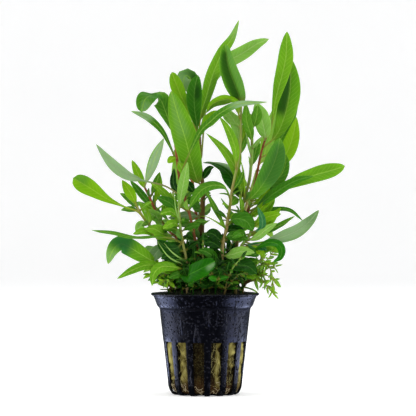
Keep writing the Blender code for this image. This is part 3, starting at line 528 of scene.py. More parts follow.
# Finer leaves and bare stalks that fill the stems out, given in the same way
FINE_LEAVES = {
    "stem_1": [
        (118, 4.0, 0.2, "yellow", [(-16.5, -16, 117.5), (-18.7, -17, 115.5)]),
        (116, 4.4, 0.2, "bright", [(-12.5, -16, 114.5), (-10.5, -17, 110)]),
        (104, 5.0, 0.1, "dark", [(-9, -12, 105), (-5.5, -12, 101)]),
        (100, 4.2, 0.1, "deep", [(-9, -10, 97), (-4.5, -9, 96)]),
        (68, 4.0, 0.4, "deep", [(-5, -13, 68), (-8, -15, 67)]),
        (112, 5.0, (-1, 0, 0.4), "bright", [(-14.5, -8, 117), (-15.5, -2, 122)]),
        (124, 5.0, (-1, 0, 0.3), "fresh", [(-15.5, -9, 129), (-16, -4, 134)]),
    ],
    "stem_2": [
        (130, 7.0, (-0.2, -1, 0.2), "yellow", [(1.2, -1, 135.8), (5, -2, 139), (9, -2, 141)]),
        (106, 4.0, 0.2, "dark", [(-0.5, 0, 108.5), (2, -1, 112.5), (4.5, -2, 113.5)]),
        (66, 7.0, 0.6, "dark", [(-6, -6, 69), (-11, -10, 72.5), (-18, -13, 75.5)]),
        (92, 5.0, 0.1, "deep", [(-5, -3, 95), (-8.5, -5, 99)]),
        (110, 5.6, (1, 0, 0.4), "bright", [(-2.5, 7, 114), (-2.5, 14, 118)]),
        (120, 5.6, (-1, 0, 0.3), "fresh", [(-3, 8, 125), (-3.5, 14, 131)]),
        (130, 5.6, (1, 0.3, 0.1), "fresh", [(-1, 6, 138), (1, 10, 146)]),
    ],
    "stem_3": [
        (83, 1.0, 0, "yellow", [(5, -12, 86.5), (1, -12, 88.5), (-3, -12, 89)]),
        (62, 5.5, 0.5, "dark", [(5.5, -15, 60.5), (5.8, -19, 54.8)]),
        (75, 6.5, 0.3, "dark", [(7, -12, 77.5), (4, -14, 80), (0.5, -15, 80.5)]),
        (71, 6.5, 0.3, "dark", [(7, -12, 73.5), (3, -14, 76), (-1.5, -15, 75)]),
        (79, 6.0, 0.4, "dark", [(12, -9, 82), (16, -8, 82), (20, -8, 80)]),
        (98, 2.2, 0.1, "yellow", [(15.5, -8, 109), (17.5, -8, 118), (16.2, -8, 128)]),
        (101, 3.0, 0.2, "fresh", [(17, -12, 106), (19.5, -13, 112)]),
        (124, 3.6, 0.1, "yellow", [(19.3, -6, 130), (20.6, -5, 138), (19.6, -5, 145)]),
        (118, 3.4, 0.1, "fresh", [(19, -7, 124), (21.5, -6, 131)]),
        (120, 5.0, (1, 0, 0.4), "fresh", [(17.5, -3, 126), (17.8, 3, 131)]),
        (106, 5.0, (-1, 0, 0.4), "bright", [(15, -4, 111), (15.5, 2, 114)]),
        (132, 6.6, 0.2, "pale", [(15.5, -5, 136), (12.5, -4.5, 138), (8.8, -4, 139.5)]),
        (66, 5.5, 0.3, "deep", [(5, -16, 68), (1, -19, 71), (-3.5, -20, 72)]),
        (78, 6.0, 0.3, "deep", [(12, -14, 79), (17.5, -16, 79), (21.5, -17, 77)]),
    ],
    "stem_4": [
        (89, 6.0, (-0.2, -1, 0.5), "deep", [
            (31.5, -8, 98), (38.5, -9.5, 102.8), (46.5, -12, 107), (54.5, -13.5, 109)]),
        (93, 3.6, 0.3, "yellow", [(28.5, -2, 98), (33, -3, 105), (37, -4, 110)]),
        (88, 4.0, 0.3, "yellow", [(27, -4, 92), (32, -6, 97), (36, -7, 101)]),
        (96, 1.0, 0, "yellow", [(29.5, 0, 99), (36, -3, 107)]),
        (104, 1.0, 0, "yellow", [(28.5, 6, 112), (32, 6, 124)]),
        (116, 5.6, (1, 0, 0.4), "bright", [(28.5, 16, 122), (29.5, 22, 127)]),
        (128, 5.6, (1, 0, 0.2), "fresh", [(33, 15, 137), (35, 19, 145)]),
        (102, 5.0, (-1, 0, 0.4), "deep", [(25, 16, 106), (25.5, 23, 109)]),
    ],
    "stem_5": [
        (118, 1.8, 0.1, "pale", [(22, -7, 124), (20.3, -8, 131)]),
        (122, 2.4, 0.1, "pale", [(25.5, -7, 125), (29, -8, 129)]),
        (98, 1.5, 0.1, "yellow", [(19.8, -10, 104), (19, -11, 112), (17.5, -11, 118)]),
        (112, 4.6, 0.2, "fresh", [(25, -1, 120), (27, 1, 127)]),
        (108, 5.0, (1, 0, 0.4), "bright", [(22.5, 2, 114), (22, 9, 119)]),
        (124, 5.4, 0.2, "fresh", [(22.8, -9, 130), (20.8, -10, 137), (20.6, -10, 145)]),
    ],
    "stem_6": [
        (86, 5.2, 0.2, "pale", [(-31.5, -12, 85), (-34.5, -11, 81)]),
        (72, 7.0, 0.3, "grey", [(-22, -16, 73), (-25.5, -18, 69), (-27, -19, 65.5)]),
        (70, 5.5, 0.3, "fresh", [(-16, -15, 66), (-20, -18, 62)]),
        (83, 4.0, 0.2, "bright", [(-29, -8, 90), (-33, -7, 96)]),
    ],
    "stem_7": [
        (72, 7.5, 0.2, "deep", [(-11.5, -7, 72), (-17, -10, 71), (-20, -11, 66)]),
        (88, 4.4, 0.1, "bright", [(-19, -2, 95), (-17, -2, 101)]),
        (98, 4.0, 0.1, "fresh", [(-25, -3, 104), (-22.5, -3, 111)]),
        (92, 5.0, (-1, 0, 0.4), "deep", [(-25, 3, 96), (-26, 10, 99)]),
    ],
    "stem_8": [
        (66, 1.1, 0, "pale", [(-16, -23, 70.5), (-20.5, -25, 75.5)]),
        (64, 1.1, 0, "pale", [(-18, -24, 68.5), (-24, -27, 76.5)]),
        (60, 5.0, 0.4, "deep", [(-13, -19, 60), (-18, -21, 58)]),
        (67, 6.0, 0.2, "dark", [(-14, -19, 68.5), (-19, -22, 68.8), (-22, -23, 67.5)]),
        (85, 1.0, 0, "pale", [(-14.5, -20, 92), (-15.5, -21, 100)]),
        (80, 1.0, 0, "pale", [(-13, -20, 88), (-13.5, -21, 97)]),
    ],
    "stem_9": [
        (75, 4.4, 0.5, "teal", [(27, -17, 73.5), (31, -20, 72)]),
        (80, 4.6, 0.3, "yellow", [(29, -14, 82.5), (34.5, -15, 90)]),
        (70, 5.5, 0.4, "deep", [(22, -17, 71), (27, -19, 69)]),
        (66, 5.0, 0.4, "fresh", [(22, -16, 66), (27.5, -18, 66.5)]),
        (76, 4.6, 0.3, "pale", [(26, -17, 78.5), (31, -19, 82.5), (36, -20, 85.5)]),
        (62, 6.0, 0.3, "bright", [(21, -17, 61), (25.5, -20, 58)]),
        (74, 4.2, 0.3, "yellow", [(27, -18, 71.5), (30, -20, 67.5)]),
        (76, 7.0, 0.5, "bright", [(28, -15, 73.5), (33, -16, 73.5), (37, -17, 70.5)]),
    ],
}

# Young shoots low on the plant: leaf pairs, longest leaf, and the places they run through
SPRIGS = {
    "sprig_1": (4, 8.0, [
        (18.5, -5, 46), (20, -8, 56), (26, -14, 63), (31, -19, 65), (33.5, -22, 60), (34, -23, 55),
    ]),
    "sprig_2": (3, 8.0, [(-16, -6, 46), (-18, -7, 55), (-23, -10, 60), (-27, -14, 60)]),
    "sprig_3": (3, 7.0, [(-1, -16, 46), (-1, -16, 56), (-1, -18, 67), (-1, -20, 76)]),
    "sprig_4": (3, 8.0, [(9, -16, 46), (11, -18, 56), (14, -22, 63), (18, -26, 68)]),
    "sprig_5": (3, 9.0, [(-15, 11, 46), (-18, 16, 57), (-24, 23, 63), (-28, 30, 65)]),
    "sprig_6": (3, 9.0, [(16, 7, 46), (20.5, 12, 57), (25, 22, 63), (29, 28, 64)]),
}

# Side shoots of the young shoots
SIDE_SHOOTS = {
    "sprig_1": [
        [(20, -8, 55), (24, -12, 62), (28, -15, 68), (30, -17, 73)],
        [(20, -8, 55), (27, -15, 60), (31.5, -19, 63), (35.5, -21, 64)],
        [(20, -8, 55), (25, -14, 59), (29.5, -18, 58.5), (31, -21, 53)],
        [(20, -8, 54), (23, -13, 60), (26, -17, 65), (29, -20, 68)],
        [(20, -8, 55), (25, -12, 61), (31, -17, 67), (34, -19, 71)],
        [(20, -8, 55), (26, -16, 59), (32, -21, 59), (35, -23, 56)],
        [(20, -8, 55), (25, -16, 57), (29, -20, 56), (34.5, -24, 50)],
    ],
    "sprig_2": [
        [(-17, -7, 52), (-19, -12, 58), (-21, -16, 61), (-24, -18, 62)],
        [(-17, -7, 52), (-18, -13, 56), (-19, -17, 57), (-21, -20, 56)],
    ],
    "sprig_4": [
        [(10, -17, 51), (14, -19, 57), (17.5, -21, 60), (21, -23, 60)],
    ],
}

# Where the points lie across a blade, from margin to margin
WIDE = (-1, -0.88, -0.68, -0.46, -0.26, -0.1, 0, 0.1, 0.26, 0.46, 0.68, 0.88, 1)
NARROW = (-1, -0.55, 0, 0.55, 1)

# What each point of a piece says to the materials: millimetres aside from the midrib and along from the
# foot, the part of the way to the margin, 1 on an underside, 1 on a stalk or joint, a leaf's own shade, and
# how strong each patch of painted shade or sheen is
MARKS = ("aside", "reach", "across", "under", "stalk", "shade", *PATCHES)


# Pieces

def stand(name, data):
    """A new object in the scene, which shows a mesh, a light or a camera."""
    made = bpy.data.objects.new(name, data)
    bpy.context.scene.collection.objects.link(made)
    return made


def close_up(shell, mesh):
    """Writes a shell into its mesh, with its faces turned outwards and shaded smooth."""
    bmesh.ops.recalc_face_normals(shell, faces=shell.faces)
    shell.to_mesh(mesh)
    shell.free()
    mesh.shade_smooth()


class Pile:
    """Points and faces that become one piece."""

    def __init__(self):
        self.points = []
        self.faces = []
        self.looks = []
        self.marks = {mark: [] for mark in MARKS}

    def point(self, spot, **marks):
        self.points.append(spot)
        for mark in MARKS:
            self.marks[mark].append(marks.get(mark, 0.0))
        return len(self.points) - 1

    def face(self, corners, look):
        self.faces.append(corners)
        self.looks.append(look)

    def strip(self, before, after, look):
        """Faces between two rings of points."""
        for k in range(len(before)):
            n = (k + 1) % len(before)
            self.face((before[k], before[n], after[n], after[k]), look)

    def piece(self, name):
        used = list(dict.fromkeys(self.looks))
        mesh = bpy.data.meshes.new(name)
        mesh.from_pydata(self.points, [], self.faces)
        mesh.polygons.foreach_set("material_index", [used.index(look) for look in self.looks])
        for mark, values in self.marks.items():
            mesh.attributes.new(mark, "FLOAT", "POINT").data.foreach_set("value", values)
        for look in used:
            mesh.materials.append(LOOKS[look])
        shell = bmesh.new()
        shell.from_mesh(mesh)
        close_up(shell, mesh)
        return stand(name, mesh)


def hand_over(piece, slot, *nodes):
    """The piece rides on the plant's one body, in place of its solids."""
    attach(piece, "root")
    if nodes:
        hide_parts(*nodes)


# Paths

def place(spot):
    """The real place, in metres, of a spot given as seen square on from the front."""
    x, y, z = spot
    nearer = 1.0 + y / EYE_DISTANCE
    return Vector((SIGHT_X + (x - SIGHT_X) * nearer, y, SIGHT_Z + (z - SIGHT_Z) * nearer)) * MM


def round_place(radius, turn, height):
    """A place in millimetres at a distance from the pot's axis and a turn round it."""
    return Vector((radius * math.cos(turn), radius * math.sin(turn), height))


def seen_height(spot):
    """The height, in millimetres, at which a real place is seen from the front."""
    nearer = 1.0 + spot.y / MM / EYE_DISTANCE
    return SIGHT_Z + (spot.z / MM - SIGHT_Z) / nearer


def smooth_path(places, count):
    """count + 1 places evenly spaced along a smooth curve through the given ones."""
    ends = [2 * places[0] - places[1]] + list(places) + [2 * places[-1] - places[-2]]
    fine = []
    for k in range(1, len(ends) - 2):
        a, b, c, d = ends[k - 1:k + 3]
        for step in range(CURVE_STEPS):
            t = step / CURVE_STEPS
            bend = (2 * a - 5 * b + 4 * c - d) * t**2 + (3 * b - a - 3 * c + d) * t**3
            fine.append((2 * b + (c - a) * t + bend) / 2)
    fine.append(ends[-2])
    lengths = [0.0]
    for before, after in zip(fine, fine[1:]):
        lengths.append(lengths[-1] + (after - before).length)
    even = []
    k = 0
    for step in range(count + 1):
        wanted = lengths[-1] * step / count
        while k < len(lengths) - 2 and lengths[k + 1] < wanted:
            k += 1
        share = (wanted - lengths[k]) / (lengths[k + 1] - lengths[k])
        even.append(fine[k].lerp(fine[k + 1], min(share, 1.0)))
    return even


def direction(path, k):
    """The way that a path runs at one of its places."""
    return (path[min(k + 1, len(path) - 1)] - path[max(k - 1, 0)]).normalized()


def seen_path(spots, count):
    """A smooth path through spots given as seen square on from the front."""
    return smooth_path([place(spot) for spot in spots], count)


STEM_PATHS = {name: seen_path(stem[3], STEM_STEPS) for name, stem in STEMS.items()}


def nearest_step(path, height):
    """The number of the place on a path that is seen nearest to a height."""
    return min(range(len(path)), key=lambda n: abs(seen_height(path[n]) - height))


def stem_place(name, height):
    """A stem's centre line at a height as seen from the front: the place, its direction and its radius."""
    path = STEM_PATHS[name]
    k = STEM_STEPS if height is None else nearest_step(path, height)
    foot, top = STEMS[name][1:3]
    return path[k], direction(path, k), foot + (top - foot) * k / STEM_STEPS


# Leaves

def half_width(t, width, stalk, broad, full):
    """Half the width of a lance-shaped leaf at the part t of its length."""
    if t <= stalk:
        return STALK_HALF_WIDTH
    along = (t - stalk) / (1.0 - stalk)
    swell = max(math.sin(math.pi * along ** (math.log(0.5) / math.log(broad))), 0.0) ** full
    return STALK_HALF_WIDTH * (1.0 - along) + max(TIP_HALF_WIDTH, (width / 2 - STALK_HALF_WIDTH) * swell)


def smooth(share):
    """Eases a share from 0 to 1."""
    share = min(max(share, 0.0), 1.0)
    return share * share * (3.0 - 2.0 * share)


def within(value, low, high, edge, reach):
    """1 between two limits and 0 outside them, with soft edges that reach out a little."""
    return smooth((value - low) / edge + reach) * smooth((high - value) / edge + reach)


def patch(where, across, t):
    """How strongly a patch on a blade shows at a point of it."""
    low, high, start, end, strength = where
    over = within(across, low, high, PATCH_EDGE_ACROSS, 0.4)
    return strength * over * within(t, start, end, PATCH_EDGE_ALONG, 0.5)


def stem_of(leaf):
    """The stem that a leaf is named for."""
    return "stem_" + leaf[len("leaf_"):-1]


def facing_of(way):
    """A way that a face looks, from its three parts or from how far up it looks."""
    return Vector((0, -1, way)) if isinstance(way, (int, float)) else Vector(way)


def facing_at(turns, t):
    """How the upper face looks at the part t of a leaf's length."""
    if len(turns) == 1:
        return facing_of(turns[0]).normalized()
    step = t * (len(turns) - 1)
    k = min(int(step), len(turns) - 2)
    return facing_of(turns[k]).lerp(facing_of(turns[k + 1]), smooth(step - k)).normalized()


def blade(pile, path, width, stalk, broad, turns, fold, look, full, columns=WIDE, wave=WAVE_HEIGHT,
          patches=()):
    """A leaf: a thin solid with a grooved midrib, quilted between its veins, and with a wavy margin."""
    rows = len(path) - 1
    shade = luck.random()
    waves = [(luck.uniform(*WAVE_COUNTS), luck.uniform(0, math.tau)) for _ in range(2)]
    wave *= min(1.0, width / WHOLE_WAVE_WIDTH)
    reach = 0.0
    lines = []
    for k, spot in enumerate(path):
        t = k / rows
        if k:
            reach += (spot - path[k - 1]).length / MM
        along = direction(path, k)
        side = along.cross(facing_at(turns, t)).normalized()
        up = side.cross(along)
        half = half_width(t, width, stalk, broad, full)
        open_part = smooth((t - stalk) / OPENING_SHARE)
        tip_part = min((1.0 - t) / TIP_SHARE, 1.0)
        stout = STALK_HALF_THICKNESS * (1.0 - open_part) + BLADE_HALF_THICKNESS * open_part
        stout *= 0.4 + 0.6 * tip_part
        upper, under = [], []
        for across in columns:
            away = abs(across)
            rate, start = waves[0] if across < 0 else waves[1]
            lift = half * open_part * (fold * away - MARGIN_CURL * away**3)
            lift += wave * open_part * tip_part * away**2 * math.sin(rate * math.tau * t + start)
            if half > LEAST_QUILTED_HALF_WIDTH:
                quilt = math.sin(math.tau * (reach - VEIN_SLANT * half * away) / VEIN_PITCH)
                lift += QUILT_HEIGHT * open_part * quilt * away * (1 - away)
            body = stout * (1.0 - 0.75 * away**2)
            groove = MIDRIB_GROOVE * open_part if across == 0 else 0.0
            ridge = MIDRIB_RIDGE * tip_part if across == 0 else 0.0
            marks = {"aside": across * half, "reach": reach, "across": across, "shade": shade,
                     "stalk": 1.0 - smooth((t - stalk * 0.6) / 0.15)}
            for mark, where in patches:
                marks[mark] = patch(where, across, t)
            centre = spot + side * (across * half * MM)
            upper.append(pile.point(centre + up * ((lift + body - groove) * MM), **marks))
            under.append(pile.point(centre + up * ((lift - body - ridge) * MM), under=1.0, **marks))
        lines.append(upper + under[::-1])
    for before, after in zip(lines, lines[1:]):
        pile.strip(before, after, look)
    for line in (lines[0], lines[-1]):
        count = len(line)
        for k in range(count // 2 - 1):
            pile.face((line[k], line[k + 1], line[count - 2 - k], line[count - 1 - k]), look)


def main_leaf(name):
    """A large leaf, dressed in place of its solid."""
    height, width, stalk, broad, facing, fold, tone, tail = LEAVES[name]
    route = [place(spot) for spot in tail]
    foot, along, radius = stem_place(stem_of(name), height)
    if height is None:
        start = foot + along * TOP_LEAF_GAP * MM
    else:
        aside = route[0] - foot
        aside = (aside - along * aside.dot(along)).normalized()
        start = foot + aside * (radius + SIDE_LEAF_GAP) * MM
    path = [foot] + smooth_path([start] + route, LEAF_STEPS)
    patches = [(mark, kind[name]) for mark, kind in PATCHES.items() if name in kind]
    pile = Pile()
    blade(pile, path, width, stalk, broad, TURNS.get(name, [facing]), fold, tone,
          full=FULLNESS.get(name, PLAIN_FULLNESS), patches=patches)
    hand_over(pile.piece(name + "_blade"), SLOT_OF[name], name)


# Stems

def rod(pile, path, radii, look, sides=10, joints=()):
    """A round rod with closed ends. Its joints are places, from 0 to 1, where it swells."""
    rows = len(path) - 1
    reach = 0.0
    lines = []
    for k, spot in enumerate(path):
        if k:
            reach += (spot - path[k - 1]).length / MM
        along = direction(path, k)
        side = along.cross(Vector((0.1, 1, 0.05))).normalized()
        up = side.cross(along)
        joint = max([math.exp(-((k / rows - where) * rows / JOINT_STEPS) ** 2) for where in joints] or [0.0])
        radius = radii[k] * (1.0 + JOINT_SWELLING * joint)
        line = []
        for n in range(sides):
            turn = math.tau * n / sides
            out = side * math.cos(turn) + up * math.sin(turn)
            marks = {"across": k / rows, "reach": reach, "aside": n / sides, "stalk": joint}
            line.append(pile.point(spot + out * radius * MM, **marks))
        lines.append(line)
    for before, after in zip(lines, lines[1:]):
        pile.strip(before, after, look)
    pile.face(tuple(lines[0]), look)
    pile.face(tuple(reversed(lines[-1])), look)


def outward(spot):
    """The level way from the pot's axis to a place."""
    way = Vector((spot.x, spot.y, 0))
    return way.normalized() if way.length > 2 * MM else FRONT


def young_leaf(pile, start, out, facing, length, width, look, droop=0.15):
    """A small leaf that grows out from a place and bends down a little."""
    out = out.normalized()
    path = []
    for k in range(YOUNG_LEAF_STEPS + 1):
        t = k / YOUNG_LEAF_STEPS
        path.append(start + (out * t - UP * droop * t * t) * length * MM)
    blade(pile, path, width, stalk=0.16, broad=0.48, turns=[facing], fold=0.22, look=look, full=0.75,
          columns=NARROW, wave=0.2)


def leaf_heights(stem):
    """The heights where leaves leave a stem, which is where it has joints."""
    heights = [leaf[0] for name, leaf in LEAVES.items() if stem_of(name) == stem and leaf[0]]
    return heights + [leaf[0] for leaf in SMALL_LEAVES[stem]]


def stem_piece(name):
    """A stem with its small leaves, dressed in place of its solid."""
    colour, foot, top, _ = STEMS[name]
    path = STEM_PATHS[name]
    radii = [foot + (top - foot) * k / STEM_STEPS for k in range(STEM_STEPS + 1)]
    joints = [nearest_step(path, height) / STEM_STEPS for height in leaf_heights(name)]
    pile = Pile()
    rod(pile, path, radii, "stem_" + colour, joints=joints)
    for height, width, facing, tone, tail in SMALL_LEAVES[name] + FINE_LEAVES.get(name, []):
        start = stem_place(name, height)[0]
        route = smooth_path([start] + [place(spot) for spot in tail], SMALL_LEAF_STEPS)
        blade(pile, route, width, stalk=0.2, broad=0.5, turns=[facing], fold=0.2, look=tone, full=0.68)
    fill_in(pile, name)
    hand_over(pile.piece(name + "_grown"), SLOT_OF[name], name)


def fill_in(pile, name):
    """Pairs of small leaves low on a stem, each pair a quarter turn from the one below."""
    luck.seed(name)
    height = luck.uniform(*FILL_FOOT)
    turn = luck.uniform(0, math.tau)
    while height < min(FILL_TOP, seen_height(STEM_PATHS[name][-1]) - 2):
        spot, along, _ = stem_place(name, height)
        low = 1.0 - (height - LOW_FROM) / LOW_RISE
        # Low on a stem the leaves take darker tones, painted shade, and higher up brighter ones, painted
        # light
        tones = LOW_SHADE_TONES if low > 0.45 else HIGH_STEM_TONES
        for way in (0, math.pi):
            flat = Vector((math.cos(turn + way), math.sin(turn + way), luck.uniform(0.3, 1.3)))
            length = luck.uniform(7, 11) + 4 * low
            facing = along * 0.5 + outward(spot) * luck.uniform(0.4, 1.2)
            tip = spot + flat.normalized() * length * MM
            hides = in_opening(spot) or in_opening(tip)
            if keeps_in(tip) and tip.z > FILL_LEAST_TIP * MM and not hides:
                width = length * luck.uniform(0.35, 0.5)
                young_leaf(pile, spot, flat, facing, length, width, luck.choice(tones), droop=0.3)
        height += luck.uniform(4.5, 7)
        turn += math.pi / 2 + luck.uniform(-0.4, 0.4)


def keeps_in(spot):
    """Whether a place lies inside the solids' box, with a little to spare."""
    low, high = cad_box
    return all(low[n] + BOX_SPARE * MM < spot[n] < high[n] - BOX_SPARE * MM for n in range(3))


def in_opening(spot):
    """Whether a place lies where the foliage is open and the stems behind it show."""
    across = OPENING_X[0] * MM < spot.x < OPENING_X[1] * MM
    return across and OPENING_Z[0] * MM < spot.z < OPENING_Z[1] * MM and spot.y < OPENING_BACK * MM


def over_rim(spot):
    """Whether a place lies where a low leaf would hang over the pot's rim."""
    return math.hypot(spot.x, spot.y) > RIM_CLEAR_RADIUS * MM and spot.z < RIM_CLEAR_HEIGHT * MM


# Young shoots

def shoot(pile, path, pairs, longest, tones, radius, slender, first=0.3, bark="stem_green", hangs=True):
    """A young shoot: pairs of small leaves, each a quarter turn from the pair below, and one at its tip."""
    rows = len(path) - 1
    rod(pile, path, [radius * (1.0 - 0.4 * k / rows) for k in range(rows + 1)], bark, sides=6)
    last = max(pairs - 1, 1)
    for pair in range(pairs):
        k = round(rows * (first + (0.95 - first) * pair / last))
        along = direction(path, k)
        across = along.cross(Vector((0.1, -1, 0.2))).normalized()
        across = Matrix.Rotation(pair * math.pi / 2 + luck.uniform(-0.5, 0.5), 3, along) @ across
        for out in (-across, across):
            length = longest * luck.uniform(0.75, 1.05) * (1.0 - 0.25 * pair / last)
            way = (out + along * luck.uniform(0.35, 0.8)).normalized()
            tip = path[k] + way * length * MM
            if keeps_in(tip) and (hangs or not over_rim(tip)):
                facing = along * 0.5 + outward(path[k]) * luck.uniform(0.4, 1.1)
                young_leaf(pile, path[k], way, facing, length, length * slender, luck.choice(tones))
    along = direction(path, rows)
    young_leaf(pile, path[-1], along, FRONT + UP * 0.6, longest * 0.7, longest * 0.25, tones[0], droop=0)


def sprig_piece(name):
    """A young shoot with its side shoots, dressed in place of its solid."""
    pairs, longest, spots = SPRIGS[name]
    tones = SHADED_TONES if name in SHADED_SPRIGS else YOUNG_TONES
    pile = Pile()
    path = seen_path(spots, SPRIG_STEPS)
    shoot(pile, path, pairs + 3, longest, tones, radius=0.45, slender=0.4, first=0.28)
    for side_spots in SIDE_SHOOTS.get(name, []):
        side_path = seen_path(side_spots, SIDE_SHOOT_STEPS)
        shoot(pile, side_path, 5, longest * 0.66, tones, radius=0.3, slender=0.5, first=0.35)
    hand_over(pile.piece(name + "_shoot"), SLOT_OF[name], name)


def mound_height(radius):
    """The height of the plug's top at a distance from the pot's axis."""
    if radius < CROWN_RADIUS:
        return WOOL_TOP - CROWN_DROP * (radius / CROWN_RADIUS) ** 1.6
    return WOOL_TOP - CROWN_DROP - (radius - CROWN_RADIUS) * MOUND_SLOPE


def low_shoots():
    """Leafy shoots all over the plug's top, close in the middle, painted dark as shade and darkest in the
    middle.
    """
    pile = Pile()
    for k in range(LOW_SHOOTS):
        radius = 1.0 + LOW_SHOOT_SPREAD * math.sqrt((k + 0.5) / LOW_SHOOTS)
        spot = round_place(radius, k * GOLDEN_ANGLE, mound_height(radius) - 1.5)
        foot = spot * MM
        out = Vector((spot.x, spot.y, 0)).normalized()
        tall = luck.uniform(8, 12) + MIDDLE_EXTRA * max(0.0, 1.0 - radius / MIDDLE_RADIUS)
        lean = luck.uniform(0.15, 0.6) * radius / 14
        middle = foot + Vector((0, 0, 0.5 * tall * MM)) + out * 0.15 * tall * MM
        top = foot + (UP + out * lean) * tall * MM
        path = smooth_path([foot, middle, top], LOW_SHOOT_STEPS)
        # Low shoots take dark tones and dark bark, painted shade under the plant, darkest within the inner
        # half width
        tones = INNER_SHADE_TONES if abs(spot.x) < INNER_SHADE_HALF_WIDTH else OUTER_SHADE_TONES
        pairs = 3 if tall < 14 else 4
        longest = luck.uniform(8, 11.5)
        shoot(pile, path, pairs, longest, tones, radius=0.35, slender=0.5, bark="dark", hangs=False)
    hand_over(pile.piece("low_shoots"), "sprig")


# Rockwool, moss and roots

def wool_radius(height):
    """The radius of the pot's inner face, less a little, at a height."""
    foot = WALL_FOOT_RADIUS - WALL - WOOL_GAP
    if height > WALL_FOOT_HEIGHT:
        rise = (height - WALL_FOOT_HEIGHT) / (COLLAR_FOOT - WALL_FOOT_HEIGHT)
        return foot + (WALL_TOP_RADIUS - WALL_FOOT_RADIUS) * min(rise, 1.0)
    fall = (WALL_FOOT_HEIGHT - height) / WALL_FOOT_HEIGHT
    return foot - (WALL_FOOT_RADIUS - BASE_RADIUS) * fall**2.4


def slot_middle(slot):
    """The turn of a slot's middle, in degrees."""
    return slot * 360 / SLOTS - 90 - SLOT_LEFT_OF_FRONT


def slot_of(turn):
    """The number of the nearest slot, 0 at the front, and how far in degrees from its middle."""
    pitch = 360 / SLOTS
    around = (math.degrees(turn) + 90 + SLOT_LEFT_OF_FRONT) / pitch
    number = round(around)
    return number % SLOTS, (around - number) * pitch


# The wool in each slot, from the front one round to the right: how far it swells out, how wide the
# swelling is and how far aside it lies, in degrees, and the height where it begins
SWELLINGS = (
    (0.1, 7, 0, 6), (0.84, 5.2, 3.2, 5), (0.95, 8.5, 1.0, 14), (1.2, 13, 0, 3), (0.9, 8, 0, 6),
    (0.6, 6, -1, 8), (0.8, 7, 1, 5), (0.6, 6, 0, 10), (0.85, 7, -1, 5), (0.5, 6, 1, 7),
    (0.9, 7, 0, 6), (0.9, 8, 0, 5), (1.2, 13, 0, 8), (0.86, 10.5, -0.6, 6),
)


def wool_swell(slot, aside, height):
    """How far the wool stands out, from 0 in a crease to 1 on a fold, at a place in a slot."""
    plump, wide, lean, low = SWELLINGS[slot]
    wavy = noise.noise(Vector((height * 0.16, slot * 7.3, 0)))
    crinkled = noise.noise(Vector((height * 0.55, slot * 5.1, aside * 0.09)))
    wide *= 1.0 + 0.45 * noise.noise(Vector((height * 0.24, slot * 5.1, 4))) + 0.35 * crinkled
    plump *= 0.25 + 0.75 * smooth((height - low + 2 * wavy) / 3.0 + 0.5)
    off = (aside - lean - 3.4 * wavy - 1.2 * crinkled) / wide
    pinch = 0.8 + 0.5 * noise.noise(Vector((height * 0.4, slot * 3.7, aside * 0.12)))
    return max(0.0, 1.0 - off**4) * pinch * plump


def rockwool():
    """The plug, which swells into folds in the pot's slots, with a rounded top."""
    pile = Pile()
    sides = SLOTS * WOOL_STEPS_PER_SLOT
    lines = []
    for k in range(WOOL_ROWS + 1):
        t = k / WOOL_ROWS
        line = []
        for n in range(sides):
            turn = math.tau * n / sides
            slot, aside = slot_of(turn)
            swell = 0.5
            if t < WOOL_SIDE_SHARE:
                height = WOOL_FOOT + (WOOL_EDGE_TOP - WOOL_FOOT) * t / WOOL_SIDE_SHARE
                limit = wool_radius(height)
                spot = round_place(1, turn, 0)
                lump = noise.noise(Vector((spot.x * 16 + 5, spot.y * 16, height * 0.35)))
                swell = wool_swell(slot, aside, height)
                shrunk = 2.2 - 1.2 * smooth((8.0 - height) / 4.0)
                in_slot = smooth((SLOT_ANGLE / 2 - 0.4 - abs(aside)) / 1.5)
                proud = 0.7 * in_slot * smooth((SLOT_TOP - height) / 2)
                radius = min(limit - shrunk + 3.0 * swell + 0.5 * lump, limit + proud)
            else:
                share = 1.0 - (t - WOOL_SIDE_SHARE) / (1.0 - WOOL_SIDE_SHARE)
                radius = WOOL_TOP_RADIUS * share
                height = mound_height(radius) + 0.9 * noise.noise(round_place(radius * 0.35, turn, 3))
            spot = round_place(radius, turn, height)
            line.append(pile.point(spot * MM, reach=height, across=swell, shade=noise.noise(spot * 0.4)))
        lines.append(line)
    for before, after in zip(lines, lines[1:]):
        pile.strip(before, after, "wool")
    pile.face(tuple(lines[0]), "wool")
    pile.face(tuple(reversed(lines[-1])), "wool")
    hand_over(pile.piece("wool_plug"), "rockwool", "rockwool")


def fibres():
    """Loose fibres that lie on the rockwool in the slots."""
    pile = Pile()
    for _ in range(FIBRES):
        slot = luck.randrange(1, SLOTS)
        turn = math.radians(slot_middle(slot) + luck.uniform(-FIBRE_SPREAD, FIBRE_SPREAD))
        height = luck.uniform(4, 25)
        drift = luck.uniform(-0.12, 0.12)
        rise = luck.uniform(-4, 4)
        path = []
        for k in range(FIBRE_STEPS + 1):
            t = k / FIBRE_STEPS
            here = turn + drift * t
            up = height + rise * t + 0.5 * math.sin(4 * t)
            radius = wool_radius(up) + 0.15 + 0.5 * math.sin(math.pi * t) * luck.uniform(0.5, 1.0)
            path.append(round_place(radius, here, up) * MM)
        rod(pile, path, [FIBRE_RADIUS] * len(path), "fibre", sides=4)
    hand_over(pile.piece("wool_fibres"), "rockwool")


